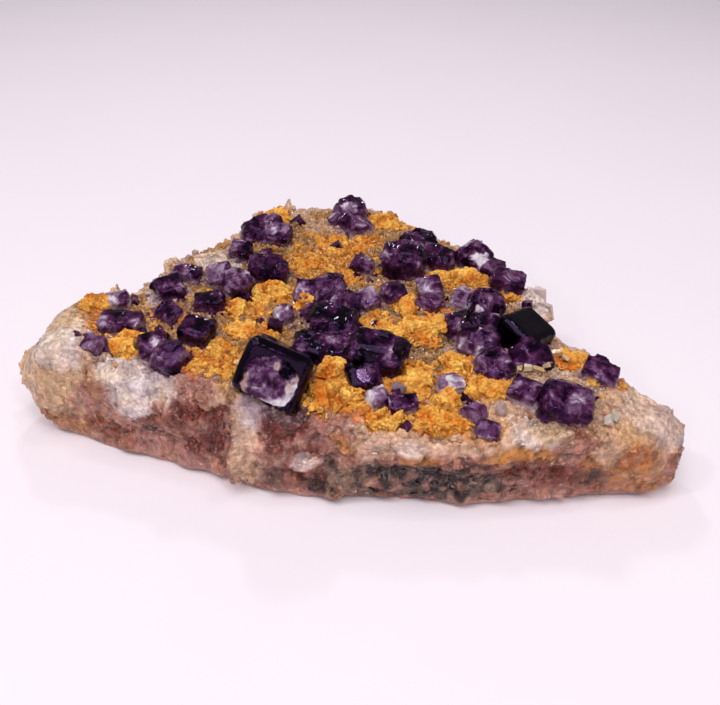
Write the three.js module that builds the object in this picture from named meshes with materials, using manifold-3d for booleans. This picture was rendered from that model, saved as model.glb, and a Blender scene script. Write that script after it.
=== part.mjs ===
// Cubic fluorite: purple fluorite cubes grown on a broken plate of drusy quartz, with raised
// crusts of orange limonite between them. Millimetres, +Z up, origin at the middle of the
// underside. +X runs along the plate's length and -Y is its broken front side.
import * as THREE from "three";
import { ConvexGeometry } from "three/addons/geometries/ConvexGeometry.js";
import { mergeVertices } from "three/addons/utils/BufferGeometryUtils.js";
import Module from "manifold-3d";

const wasm = await Module();
wasm.setup();

// Driving dimensions of the plate
const PLATE_LENGTH = 107;
const PLATE_DEPTH = 71;
const GAP = 0.3; // clear space kept between two pieces
const OUTLINE_STEPS = 72; // points round the plate
const GRID_CELL = 4.5; // size of a facet of the top surface
const GRID_JITTER = 0.32; // share of a cell that a grid point may move
const CHAMFER_SHARE = 0.11; // worn edge of a cube, as a share of its width
const SMALLEST_WORN = 4.4; // cubes narrower than this keep sharp edges
const CRUST_SIDES = 8;
const CRUST_ROOT = 0.9; // how far a crust reaches into the quartz

// The plate's broken outline, anticlockwise from its left tip, at half its thickness
const OUTLINE = [
  [-54.0, -15.2], [-50.6, -20.2], [-41.2, -22.9], [-32.6, -26.4], [-25.0, -29.2],
  [-15.5, -32.8], [-7.0, -35.2], [3.0, -36.3], [17.5, -37.3], [30.0, -36.4],
  [42.5, -35.4], [47.4, -33.6], [49.4, -31.0], [47.6, -28.7], [44.2, -27.0],
  [41.2, -21.8], [37.8, -15.8], [34.0, -11.8], [33.4, -0.6], [27.8, 8.2],
  [16.6, 21.8], [9.6, 30.4], [3.4, 33.8], [-9.0, 32.6], [-17.0, 32.4],
  [-22.4, 22.2], [-30.2, 10.8], [-38.2, 0.2], [-44.6, -4.2], [-49.8, -10.6],
];

// Height above the underside, and how far the broken side stands out there
const SIDE_LEVELS = [
  { z: 0.0, out: -0.9 },
  { z: 1.5, out: 0.0 },
  { z: 5.6, out: 0.3 },
  { z: 9.4, out: 0.1 },
  { z: 12.8, out: -0.8 },
  { z: 18.0, out: -3.2 },
];

// Thickness of the plate along its length
const THICKNESS = [
  [-54, 11.4], [-50.5, 14.4], [-46, 15.8], [-20, 16.4], [-8, 15.6],
  [16, 14.2], [30, 13.8], [43, 12.8], [47, 11.4], [50, 8.4],
];
const FRONT_FALL = { fromY: -28, toY: -37, fromX: -2, toX: 10, drop: 1.9 };

// Fluorite crystals. Each node is one crystal or crystals grown together. at is the place of a
// cube on the plate, size its width, depth and height, rise the height of its middle above
// the quartz, turn its yaw and lean its tilt about X and Y, in degrees.
const FLUORITE = {
  fluorite_front_cube: [
    { at: [-10.7, -28.2], size: [9.7, 8.0, 7.6], rise: 1.7, turn: 4, lean: [-30, 26] },
  ],
  fluorite_front_cluster: [
    { at: [4.0, -21.8], size: [8.4, 6.6, 6.4], rise: 0.8, turn: -14, lean: [16, 8] },
    { at: [-1.6, -20.0], size: [6.0, 6.0, 5.0], rise: 0.3, turn: 25, lean: [8, -10] },
    { at: [-5.8, -20.8], size: [5.4, 5.0, 4.8], rise: 0.5, turn: -20, lean: [14, 6] },
    { at: [-2.6, -15.6], size: [7.2, 5.2, 6.0], rise: 1.5, turn: -8, lean: [12, 6] },
    { at: [2.2, -26.6], size: [4.8, 3.4, 3.6], rise: 0.2, turn: 12, lean: [24, 0] },
  ],
  fluorite_centre_cluster: [
    { at: [-3.8, -3.6], size: [5.4, 4.6, 4.8], rise: 1.0, turn: 22, lean: [20, -6] },
    { at: [-1.6, -8.6], size: [5.4, 4.8, 4.8], rise: 1.1, turn: -30, lean: [8, 12] },
    { at: [-5.4, -10.6], size: [3.9, 3.6, 3.4], rise: 0.3, turn: 15, lean: [18, 4] },
    { at: [-7.2, -4.2], size: [4.4, 4.2, 3.6], rise: 0.3, turn: -12, lean: [26, 0] },
  ],
  fluorite_centre_right: [
    { at: [2.5, -5.6], size: [3.8, 3.6, 3.6], rise: 0.6, turn: 36, lean: [20, -8] },
  ],
  fluorite_back_right_cluster: [
    { at: [9.4, 6.8], size: [7.4, 6.8, 6.8], rise: 1.5, turn: -8, lean: [14, -4] },
    { at: [15.4, 9.2], size: [6.2, 5.0, 4.8], rise: 0.7, turn: -24, lean: [16, 10] },
  ],
  fluorite_back_right_cube: [
    { at: [12.6, 14.4], size: [6.0, 4.8, 5.0], rise: 0.9, turn: 18, lean: [8, 8] },
  ],
  fluorite_centre_dark: [
    { at: [7.2, -3.2], size: [3.8, 3.6, 3.6], rise: 0.6, turn: 28, lean: [10, 0] },
  ],
  fluorite_right_inner: [
    { at: [13.6, -2.0], size: [3.9, 4.6, 4.0], rise: 0.8, turn: 12, lean: [12, -14] },
    { at: [13.4, -5.4], size: [3.6, 3.4, 3.0], rise: 0.3, turn: 40, lean: [20, 8] },
  ],
  fluorite_right_blush: [
    { at: [18.8, -4.6], size: [3.2, 4.0, 3.4], rise: 0.4, turn: -18, lean: [18, 6] },
  ],
  fluorite_right_rim_cube: [
    { at: [22.6, 10.2], size: [6.0, 5.4, 5.2], rise: 0.3, turn: 34, lean: [10, -12] },
    { at: [25.4, 6.6], size: [4.4, 4.2, 3.6], rise: 0.2, turn: -10, lean: [8, 14] },
  ],
  fluorite_right_rim_low: [
    { at: [27.4, 1.6], size: [5.9, 4.2, 4.0], rise: 0.6, turn: -14, lean: [10, 12] },
  ],
  fluorite_right_cluster: [
    { at: [22.4, -6.4], size: [5.6, 4.8, 4.8], rise: 1.2, turn: 16, lean: [18, 10] },
    { at: [21.8, -11.6], size: [4.8, 4.4, 4.0], rise: 0.6, turn: -28, lean: [22, -8] },
    { at: [17.8, -12.6], size: [3.8, 4.8, 4.2], rise: 0.8, turn: 8, lean: [10, -16] },
    { at: [20.0, -17.0], size: [6.0, 5.0, 4.6], rise: 0.9, turn: -20, lean: [24, 6] },
    { at: [21.8, -22.4], size: [5.2, 5.2, 4.6], rise: 0.3, turn: 30, lean: [22, -4] },
  ],
  fluorite_right_black_cube: [
    { at: [27.4, -14.4], size: [7.8, 7.0, 6.4], rise: 0.8, turn: 38, lean: [16, 8] },
    { at: [27.8, -19.8], size: [6.8, 4.4, 4.0], rise: -0.3, turn: 6, lean: [16, 0] },
  ],
  fluorite_right_small: [
    { at: [25.4, -28.6], size: [4.3, 3.8, 3.8], rise: 0.5, turn: -34, lean: [14, 6] },
  ],
  fluorite_right_front_cube: [
    { at: [30.8, -30.8], size: [7.4, 5.8, 5.4], rise: 0.4, turn: -12, lean: [20, 14] },
  ],
  fluorite_right_shoulder: [
    { at: [37.6, -23.4], size: [5.2, 3.8, 3.8], rise: 0.1, turn: -28, lean: [12, 10] },
  ],
  fluorite_front_rose: [
    { at: [14.6, -27.4], size: [3.4, 3.0, 3.2], rise: 0.3, turn: 20, lean: [14, 0] },
  ],
  fluorite_front_right_a: [
    { at: [17.6, -32.6], size: [2.9, 2.9, 2.9], rise: 0.4, turn: 40, lean: [12, 8] },
  ],
  fluorite_front_right_b: [
    { at: [19.4, -35.0], size: [3.0, 2.6, 2.8], rise: 0.3, turn: -16, lean: [26, 10] },
  ],
  fluorite_front_dark: [
    { at: [7.6, -31.8], size: [4.2, 2.6, 2.8], rise: 0.2, turn: 10, lean: [16, 0] },
  ],
  fluorite_front_grey: [
    { at: [3.8, -31.2], size: [3.0, 2.8, 3.0], rise: 0.3, turn: 32, lean: [20, 6] },
  ],
  fluorite_left_tip: [
    { at: [-38.4, -7.0], size: [3.2, 2.9, 2.9], rise: 0.7, turn: 18, lean: [14, -8] },
  ],
  fluorite_left_long: [
    { at: [-36.4, -14.0], size: [6.6, 3.8, 3.8], rise: 0.4, turn: -6, lean: [10, 0] },
  ],
  fluorite_left_low: [
    { at: [-39.2, -19.2], size: [3.6, 2.8, 2.8], rise: 0.1, turn: -22, lean: [22, -10] },
  ],
  fluorite_left_pair: [
    { at: [-29.6, -20.4], size: [4.2, 4.0, 4.0], rise: 0.5, turn: 14, lean: [22, -12] },
    { at: [-26.8, -23.4], size: [4.8, 4.4, 4.2], rise: 0.3, turn: -26, lean: [26, 10] },
  ],
  fluorite_left_block: [
    { at: [-23.8, -17.4], size: [4.7, 4.2, 4.2], rise: 1.0, turn: -18, lean: [10, 8] },
  ],
  fluorite_left_dark: [
    { at: [-30.6, -3.8], size: [4.6, 4.4, 4.2], rise: 0.8, turn: 26, lean: [18, -6] },
  ],
  fluorite_left_rim: [
    { at: [-28.6, 1.4], size: [4.8, 3.0, 3.0], rise: 0.6, turn: -10, lean: [10, 6] },
  ],
  fluorite_left_sliver: [
    { at: [-29.2, -11.2], size: [3.6, 3.2, 3.2], rise: 0.2, turn: -36, lean: [20, 8] },
  ],
  fluorite_left_back_cluster: [
    { at: [-22.6, 0.2], size: [4.2, 4.2, 4.0], rise: 0.6, turn: 12, lean: [16, -12] },
    { at: [-19.4, -3.2], size: [5.2, 4.6, 4.6], rise: 0.9, turn: -34, lean: [12, 10] },
  ],
  fluorite_left_back_dark: [
    { at: [-23.2, -8.0], size: [4.8, 3.2, 3.4], rise: 0.5, turn: 8, lean: [10, -6] },
  ],
  fluorite_left_back_small: [
    { at: [-20.2, 9.0], size: [3.8, 3.2, 3.2], rise: 0.5, turn: -12, lean: [16, 6] },
  ],
  fluorite_left_ridge: [
    { at: [-14.6, 1.8], size: [6.6, 4.6, 4.8], rise: 1.0, turn: -12, lean: [18, 12] },
  ],
  fluorite_back_left_cube: [
    { at: [-16.8, 17.0], size: [7.4, 5.4, 5.0], rise: 0.1, turn: 14, lean: [18, -14] },
    { at: [-13.6, 15.2], size: [3.6, 4.4, 4.2], rise: 0.3, turn: -24, lean: [20, 8] },
  ],
  fluorite_back_top_cluster: [
    { at: [-0.2, 28.2], size: [5.2, 4.8, 4.6], rise: 0.7, turn: 20, lean: [12, 6] },
    { at: [-2.2, 24.2], size: [4.0, 4.2, 3.6], rise: 0.5, turn: -18, lean: [14, -8] },
    { at: [1.4, 22.6], size: [4.8, 4.4, 3.4], rise: 0.1, turn: 30, lean: [10, 10] },
  ],
  fluorite_back_purple: [
    { at: [1.9, 6.2], size: [4.0, 3.0, 3.2], rise: 0.3, turn: -22, lean: [16, 6] },
  ],
  fluorite_centre_pink: [
    { at: [-10.9, -11.4], size: [2.7, 2.9, 2.7], rise: 0.3, turn: 34, lean: [18, -6] },
  ],
};

// Limonite crusts, each one or more flat cakes grown together. at is a cake's place, spread its
// width and depth, rise its height above the quartz and turn its yaw in degrees.
const CRUSTS = {
  crust_left_end: [{ at: [-41.4, -12.6], spread: [5.0, 8.0], rise: 0.9, turn: -20 }],
  crust_left_front: [{ at: [-34.4, -19.6], spread: [6.6, 5.6], rise: 2.1, turn: 8 }],
  crust_left_bridge: [{ at: [-13.6, -4.2], spread: [8.2, 4.4], rise: 2.2, turn: 14 }],
  crust_left_bridge_end: [{ at: [-18.2, -8.6], spread: [5.4, 3.6], rise: 1.7, turn: 22 }],
  crust_centre_small: [{ at: [-7.6, -7.4], spread: [3.8, 2.8], rise: 2.0, turn: -30 }],
  crust_left_middle: [{ at: [-17.4, -15.2], spread: [6.0, 3.4], rise: 1.0, turn: 6 }],
  crust_back_left_rim: [{ at: [-14.6, 26.2], spread: [5.0, 5.2], rise: 1.2, turn: 30 }],
  crust_back_right_rim: [{ at: [6.2, 25.6], spread: [6.0, 6.4], rise: 1.2, turn: -20 }],
  crust_right_back: [{ at: [19.8, 3.4], spread: [12.6, 4.4], rise: 2.2, turn: 4 }],
  crust_centre_arch: [
    { at: [9.6, -7.2], spread: [3.6, 7.0], rise: 2.2, turn: -6 },
    { at: [12.2, -12.0], spread: [8.8, 4.8], rise: 2.2, turn: 6 },
    { at: [6.9, -14.2], spread: [5.6, 3.2], rise: 1.5, turn: -8 },
  ],
  crust_front_finger: [{ at: [-2.6, -25.4], spread: [4.6, 4.6], rise: 3.0, turn: -24 }],
  crust_front_left: [{ at: [-1.8, -30.4], spread: [9.4, 5.8], rise: 1.7, turn: -10 }],
  crust_front_left_low: [{ at: [5.0, -34.4], spread: [6.6, 3.6], rise: 1.4, turn: -12 }],
  crust_front_middle: [{ at: [9.6, -25.4], spread: [7.4, 6.6], rise: 1.8, turn: -20 }],
  crust_right_middle: [{ at: [16.4, -22.4], spread: [6.2, 4.4], rise: 2.4, turn: -24 }],
  crust_right_middle_low: [{ at: [20.6, -27.4], spread: [7.2, 3.8], rise: 2.0, turn: -16 }],
  crust_front_right_ring: [{ at: [14.2, -30.6], spread: [4.6, 3.6], rise: 2.4, turn: 12 }],
  crust_front_right: [{ at: [12.4, -34.6], spread: [9.2, 3.8], rise: 1.5, turn: -12 }],
  crust_right_edge: [{ at: [26.4, -2.6], spread: [5.0, 2.8], rise: 1.7, turn: 4 }],
  crust_right_shoulder: [{ at: [34.6, -18.6], spread: [6.2, 5.0], rise: 1.2, turn: 24 }],
};

// Lumps of paler quartz that stand out of the broken sides and the top: middle, half sizes and yaw
const LUMPS = [
  { at: [-15.0, -30.4, 6.4], half: [3.5, 3.2, 5.4], turn: 18 },
  { at: [-34.0, -23.4, 10.2], half: [5.4, 2.6, 4.4], turn: -20 },
  { at: [-47.6, -16.8, 7.2], half: [4.2, 3.2, 5.2], turn: 34 },
  { at: [44.6, -31.2, 5.4], half: [4.2, 3.6, 4.6], turn: -10 },
  { at: [7.0, -34.6, 9.6], half: [9.0, 2.2, 2.8], turn: -4 },
  { at: [26.0, -34.2, 9.2], half: [7.4, 2.6, 3.2], turn: 4 },
  { at: [31.6, -3.2, 11.6], half: [1.2, 2.8, 4.0], turn: 8 },
  { at: [21.2, 16.6, 8.4], half: [6.4, 2.2, 4.4], turn: -52 },
  { at: [-29.8, 9.0, 9.4], half: [6.0, 2.2, 4.6], turn: 52 },
];

// Quartz points: fields of small crystals, each a middle, half sizes, count and crystal width
const POINT_FIELDS = [
  { at: [-33, 1], half: [7, 5], count: 3, width: 3.2 },
  { at: [-12, 10], half: [8, 7], count: 4, width: 3.0 },
  { at: [-6, 24], half: [8, 6], count: 3, width: 3.2 },
  { at: [31, -3], half: [2, 5], count: 2, width: 3.2 },
  { at: [38, -27], half: [6, 4], count: 3, width: 3.2 },
  { at: [-26, -12], half: [8, 5], count: 2, width: 3.0 },
];
const RIM_POINTS = { every: 3, width: 3.0, inset: 1.3, fromX: -44 };

const COLOURS = {
  quartz: { color: 0xcdb5a1, roughness: 0.45 },
  fluorite: { color: 0x2e1a4a, roughness: 0.12 },
  limonite: { color: 0xe0912c, roughness: 0.95 },
};

const radians = THREE.MathUtils.degToRad;

// A repeatable number from 0 to 1 for a pair of numbers
function chance(a, b) {
  const s = Math.sin(a * 127.1 + b * 311.7) * 43758.5453;
  return s - Math.floor(s);
}

// Smooth noise from -1 to 1 over the plane
function rumple(x, y) {
  const i = Math.floor(x);
  const j = Math.floor(y);
  const u = THREE.MathUtils.smoothstep(x - i, 0, 1);
  const v = THREE.MathUtils.smoothstep(y - j, 0, 1);
  const low = THREE.MathUtils.lerp(chance(i, j), chance(i + 1, j), u);
  const high = THREE.MathUtils.lerp(chance(i, j + 1), chance(i + 1, j + 1), u);
  return 2 * THREE.MathUtils.lerp(low, high, v) - 1;
}

function thicknessAt(x) {
  const last = THICKNESS.length - 1;
  if (x <= THICKNESS[0][0]) return THICKNESS[0][1];
  if (x >= THICKNESS[last][0]) return THICKNESS[last][1];
  const k = THICKNESS.findIndex(([end]) => x < end);
  const [[x0, z0], [x1, z1]] = [THICKNESS[k - 1], THICKNESS[k]];
  return THREE.MathUtils.mapLinear(x, x0, x1, z0, z1);
}

// Height of the quartz surface, without its facets
function surfaceAt(x, y) {
  const { fromY, toY, fromX, toX, drop } = FRONT_FALL;
  const fall = THREE.MathUtils.smoothstep(-y, -fromY, -toY) * THREE.MathUtils.smoothstep(x, fromX, toX);
  return thicknessAt(x) - drop * fall + 0.55 * rumple(x / 9, y / 9);
}

function solidOf(geometry) {
  const bare = geometry.clone();
  bare.deleteAttribute("normal");
  bare.deleteAttribute("uv");
  const merged = mergeVertices(bare, 1e-4);
  return new wasm.Manifold(
    new wasm.Mesh({
      numProp: 3,
      vertProperties: new Float32Array(merged.attributes.position.array),
      triVerts: new Uint32Array(merged.index.array),
    }),
  );
}

function geometryOf(solid) {
  const mesh = solid.getMesh();
  const positions = new Float32Array(mesh.numVert * 3);
  for (let i = 0; i < mesh.numVert; i++) {
    const from = i * mesh.numProp;
    positions.set(mesh.vertProperties.subarray(from, from + 3), i * 3);
  }
  const geometry = new THREE.BufferGeometry();
  geometry.setAttribute("position", new THREE.BufferAttribute(positions, 3));
  geometry.setIndex(new THREE.BufferAttribute(new Uint32Array(mesh.triVerts), 1));
  geometry.computeVertexNormals();
  return geometry;
}

// Cuts can leave crumbs. The piece is the largest body.
function largestBody(solid) {
  return solid.decompose().reduce((a, b) => (b.volume() > a.volume() ? b : a));
}

function joined(solids) {
  return solids.reduce((a, b) => a.add(b));
}

// The outline at half thickness: places and the directions that face outwards there
function outlineRing() {
  const points = OUTLINE.map(([x, y]) => new THREE.Vector3(x, y, 0));
  const curve = new THREE.CatmullRomCurve3(points, true, "centripetal");
  const ring = curve.getSpacedPoints(OUTLINE_STEPS).slice(0, OUTLINE_STEPS);
  return ring.map((p, k) => {
    const before = ring[(k + OUTLINE_STEPS - 1) % OUTLINE_STEPS];
    const after = ring[(k + 1) % OUTLINE_STEPS];
    const outward = new THREE.Vector3(after.y - before.y, before.x - after.x, 0).normalize();
    return { p, outward };
  });
}

// The broken sides, as rings of the outline one above another
function sidesSolid() {
  const base = outlineRing();
  const positions = [];
  SIDE_LEVELS.forEach(({ z, out }) => {
    base.forEach(({ p, outward }, k) => {
      const broken = 0.8 * rumple(k / 3 + 50, z / 5) + 0.9 * (chance(k, z) - 0.5);
      const reach = out + (z > 0 ? broken : 0.3 * broken);
      const drop = z > 0 ? 1.2 * (chance(k + 9, z) - 0.5) : 0;
      positions.push(p.x + outward.x * reach, p.y + outward.y * reach, z + drop);
    });
  });
  const index = [];
  const levels = SIDE_LEVELS.length;
  for (let level = 0; level < levels - 1; level++) {
    for (let k = 0; k < OUTLINE_STEPS; k++) {
      const a = level * OUTLINE_STEPS + k;
      const b = level * OUTLINE_STEPS + ((k + 1) % OUTLINE_STEPS);
      index.push(a, b, b + OUTLINE_STEPS, a, b + OUTLINE_STEPS, a + OUTLINE_STEPS);
    }
  }
  const ringShape = (level) =>
    base.map((_, k) => {
      const at = 3 * (level * OUTLINE_STEPS + k);
      return new THREE.Vector2(positions[at], positions[at + 1]);
    });
  const top = (levels - 1) * OUTLINE_STEPS;
  THREE.ShapeUtils.triangulateShape(ringShape(0), []).forEach(([a, b, c]) => index.push(c, b, a));
  THREE.ShapeUtils.triangulateShape(ringShape(levels - 1), []).forEach(([a, b, c]) =>
    index.push(top + a, top + b, top + c),
  );
  const geometry = new THREE.BufferGeometry();
  geometry.setAttribute("position", new THREE.Float32BufferAttribute(positions, 3));
  geometry.setIndex(index);
  return solidOf(geometry);
}

// A block whose upper face is the lumpy top of the plate, in flat facets
function terrainSolid() {
  const room = 8;
  const width = PLATE_LENGTH + room;
  const depth = PLATE_DEPTH + room;
  const nx = Math.round(width / GRID_CELL);
  const ny = Math.round(depth / GRID_CELL);
  const height = 10;
  const block = new THREE.BoxGeometry(width, depth, height, nx, ny, 1);
  block.deleteAttribute("normal");
  block.deleteAttribute("uv");
  const geometry = mergeVertices(block, 1e-4);
  const position = geometry.attributes.position;
  for (let i = 0; i < position.count; i++) {
    let x = position.getX(i);
    let y = position.getY(i);
    if (position.getZ(i) < 0) {
      position.setZ(i, -height);
      continue;
    }
    const inside = Math.abs(x) < width / 2 - 0.1 && Math.abs(y) < depth / 2 - 0.1;
    if (inside) {
      const swing = 2 * GRID_JITTER * GRID_CELL;
      const [column, row] = [x, y];
      x = column + swing * (chance(column, row) - 0.5);
      y = row + swing * (chance(row, column + 7) - 0.5);
    }
    const facet = 0.75 * (chance(Math.round(x * 10), Math.round(y * 10)) - 0.5);
    position.setXYZ(i, x, y, surfaceAt(x, y) + facet);
  }
  return solidOf(geometry);
}

// A turned and placed copy of a solid's geometry
function placed(geometry, at, turn, lean = [0, 0]) {
  const spin = new THREE.Euler(radians(lean[0]), radians(lean[1]), radians(turn), "ZXY");
  const matrix = new THREE.Matrix4().makeRotationFromEuler(spin).setPosition(...at);
  return geometry.clone().applyMatrix4(matrix);
}

// A ledge or block of broken quartz
function lumpSolid({ at, half, turn }, seed) {
  const block = new THREE.BoxGeometry(2, 2, 2, 2, 1, 2);
  block.deleteAttribute("normal");
  block.deleteAttribute("uv");
  const geometry = mergeVertices(block, 1e-4);
  const position = geometry.attributes.position;
  for (let i = 0; i < position.count; i++) {
    const [x, y, z] = [position.getX(i), position.getY(i), position.getZ(i)];
    const corner = 1.16 - 0.1 * (x * x + y * y + z * z);
    const jitter = (side) => corner + 0.3 * (chance(seed * 40 + i, side) - 0.5);
    position.setXYZ(i, x * half[0] * jitter(1), y * half[1] * jitter(2), z * half[2] * jitter(3));
  }
  return solidOf(placed(geometry, at, turn));
}

// A stubby six-sided quartz point that leans a little off the surface
function pointSolid(x, y, width, seed) {
  const height = width * (0.6 + 0.2 * chance(seed, 3));
  const point = new THREE.ConeGeometry(width / 2, height, 6, 1).rotateX(Math.PI / 2);
  const lean = [50 * (chance(seed, 5) - 0.5), 50 * (chance(seed, 6) - 0.5)];
  const z = surfaceAt(x, y) + height * 0.12;
  return solidOf(placed(point, [x, y, z], 360 * chance(seed, 4), lean));
}

function fieldPointSolids() {
  return POINT_FIELDS.flatMap(({ at, half, count, width }, field) =>
    Array.from({ length: count }, (_, k) => {
      const seed = field * 31 + k;
      const x = at[0] + half[0] * (2 * chance(seed, 1) - 1);
      const y = at[1] + half[1] * (2 * chance(seed, 2) - 1);
      return pointSolid(x, y, width * (0.8 + 0.4 * chance(seed, 7)), seed);
    }),
  );
}

// Quartz points along the drusy back rims
function rimPointSolids() {
  const { every, width, inset, fromX } = RIM_POINTS;
  const back = outlineRing().filter(({ p, outward }) => outward.y > 0.1 && p.x > fromX);
  return back
    .filter((_, k) => k % every === 0)
    .map(({ p, outward }, k) => {
      const reach = inset + 0.9 * chance(k, 61);
      const size = width * (0.75 + 0.5 * chance(k, 62));
      return pointSolid(p.x - outward.x * reach, p.y - outward.y * reach, size, 900 + k);
    });
}

// A fluorite cube. The larger ones have worn upper and upright edges.
function cubeGeometry([width, depth, height]) {
  if (Math.min(width, depth) < SMALLEST_WORN) return new THREE.BoxGeometry(width, depth, height);
  const [a, b, c] = [width / 2, depth / 2, height / 2];
  const k = CHAMFER_SHARE * Math.min(width, depth);
  const points = [];
  for (const sx of [-1, 1]) {
    for (const sy of [-1, 1]) {
      points.push(
        new THREE.Vector3(sx * a, sy * (b - k), -c),
        new THREE.Vector3(sx * (a - k), sy * b, -c),
        new THREE.Vector3(sx * a, sy * (b - k), c - k),
        new THREE.Vector3(sx * (a - k), sy * b, c - k),
        new THREE.Vector3(sx * (a - k), sy * (b - k), c),
      );
    }
  }
  return new ConvexGeometry(points);
}

function cubePlace({ at: [x, y], rise }) {
  return [x, y, surfaceAt(x, y) + rise];
}

function cubeSolid(cube) {
  return solidOf(placed(cubeGeometry(cube.size), cubePlace(cube), cube.turn, cube.lean));
}

// The room a cube takes, with the gap round it
function cubeRoom(cube) {
  const box = new THREE.BoxGeometry(...cube.size.map((side) => side + 2 * GAP));
  return solidOf(placed(box, cubePlace(cube), cube.turn, cube.lean));
}

// A flat lumpy cake that follows the surface. more is extra size all round.
function cakeSolid({ at, spread, rise, turn }, more = 0) {
  const rings = [
    { share: 0.82, up: -CRUST_ROOT - more },
    { share: 1.0, up: rise * 0.35 },
    { share: 0.72, up: rise + more },
  ];
  const angle = radians(turn);
  const positions = [];
  const add = (share, side, up, ring = 0) => {
    const a = (side / CRUST_SIDES) * 2 * Math.PI;
    const wave = 1 + 0.55 * (chance(side + at[0], at[1]) - 0.5);
    const u = share * (wave * spread[0] * 0.5 * Math.cos(a)) + (share && more * Math.cos(a));
    const v = share * (wave * spread[1] * 0.5 * Math.sin(a)) + (share && more * Math.sin(a));
    const x = at[0] + u * Math.cos(angle) - v * Math.sin(angle);
    const y = at[1] + u * Math.sin(angle) + v * Math.cos(angle);
    const lumpy = up > 0 ? 0.45 * rise * (chance(side + at[1], ring) - 0.5) : 0;
    positions.push(x, y, surfaceAt(at[0], at[1]) + up + lumpy);
  };
  rings.forEach(({ share, up }, ring) => {
    for (let side = 0; side < CRUST_SIDES; side++) add(share, side, up, ring);
  });
  add(0, 0, -CRUST_ROOT - more);
  add(0, 0, rise * 1.08 + more);
  const low = rings.length * CRUST_SIDES;
  const index = [];
  for (let side = 0; side < CRUST_SIDES; side++) {
    const next = (side + 1) % CRUST_SIDES;
    for (let ring = 0; ring < rings.length - 1; ring++) {
      const a = ring * CRUST_SIDES + side;
      const b = ring * CRUST_SIDES + next;
      index.push(a, b, b + CRUST_SIDES, a, b + CRUST_SIDES, a + CRUST_SIDES);
    }
    const last = (rings.length - 1) * CRUST_SIDES;
    index.push(next, side, low);
    index.push(last + side, last + next, low + 1);
  }
  const geometry = new THREE.BufferGeometry();
  geometry.setAttribute("position", new THREE.Float32BufferAttribute(positions, 3));
  geometry.setIndex(index);
  return solidOf(geometry);
}

// The crystals, each clear of those made before it
const fluorite = new Map();
const rooms = [];
for (const [name, cubes] of Object.entries(FLUORITE)) {
  let crystal = joined(cubes.map(cubeSolid));
  rooms.forEach((room) => {
    crystal = crystal.subtract(room);
  });
  fluorite.set(name, largestBody(crystal));
  rooms.push(joined(cubes.map(cubeRoom)));
}

// The crusts lap round the crystals and round each other
const crusts = new Map();
for (const [name, cakes] of Object.entries(CRUSTS)) {
  let crust = joined(cakes.map((cake) => cakeSolid(cake)));
  rooms.forEach((room) => {
    crust = crust.subtract(room);
  });
  crusts.set(name, largestBody(crust));
  rooms.push(joined(cakes.map((cake) => cakeSolid(cake, GAP + 0.1))));
}

// The quartz plate, with a socket for every piece that stands in it
let plate = sidesSolid().intersect(terrainSolid());
LUMPS.forEach((lump, seed) => {
  plate = plate.add(lumpSolid(lump, seed));
});
const aboveFloor = new THREE.BoxGeometry(200, 200, 60).translate(0, 0, 30);
plate = plate.intersect(solidOf(aboveFloor));
plate = joined([plate, ...fieldPointSolids(), ...rimPointSolids()]);
rooms.forEach((room) => {
  plate = plate.subtract(room);
});
plate = largestBody(plate);

const specimen = new THREE.Group();

function addPiece(name, solid, look) {
  const material = new THREE.MeshStandardMaterial({ ...look, metalness: 0, flatShading: true });
  const mesh = new THREE.Mesh(geometryOf(solid), material);
  mesh.name = name;
  specimen.add(mesh);
}

addPiece("quartz_matrix", plate, COLOURS.quartz);
fluorite.forEach((solid, name) => addPiece(name, solid, COLOURS.fluorite));
crusts.forEach((solid, name) => addPiece(name, solid, COLOURS.limonite));

// The frame's origin is the middle of the underside of the whole specimen
const box = new THREE.Box3().setFromObject(specimen);
const middle = box.getCenter(new THREE.Vector3());
specimen.position.set(-middle.x, -middle.y, -box.min.z);

export default specimen;
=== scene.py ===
# %% [markdown]
# # Purple fluorite on drusy quartz
#
# This lesson dresses a solid model of a mineral specimen: a broken plate of quartz, covered with
# small quartz points, dark purple cubes of fluorite and spongy orange crusts of limonite. The
# solids already have the right places and sizes. What they lack is what a mineral shows up close:
# grain, glitter, chipped edges, and colour that changes every few millimetres.
#
# The solids come in as a fixed frame. Each new piece takes the place of one of them.

import itertools
import math

import bmesh
import bpy
import numpy as np
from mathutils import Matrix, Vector
from mathutils.bvhtree import BVHTree


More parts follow.
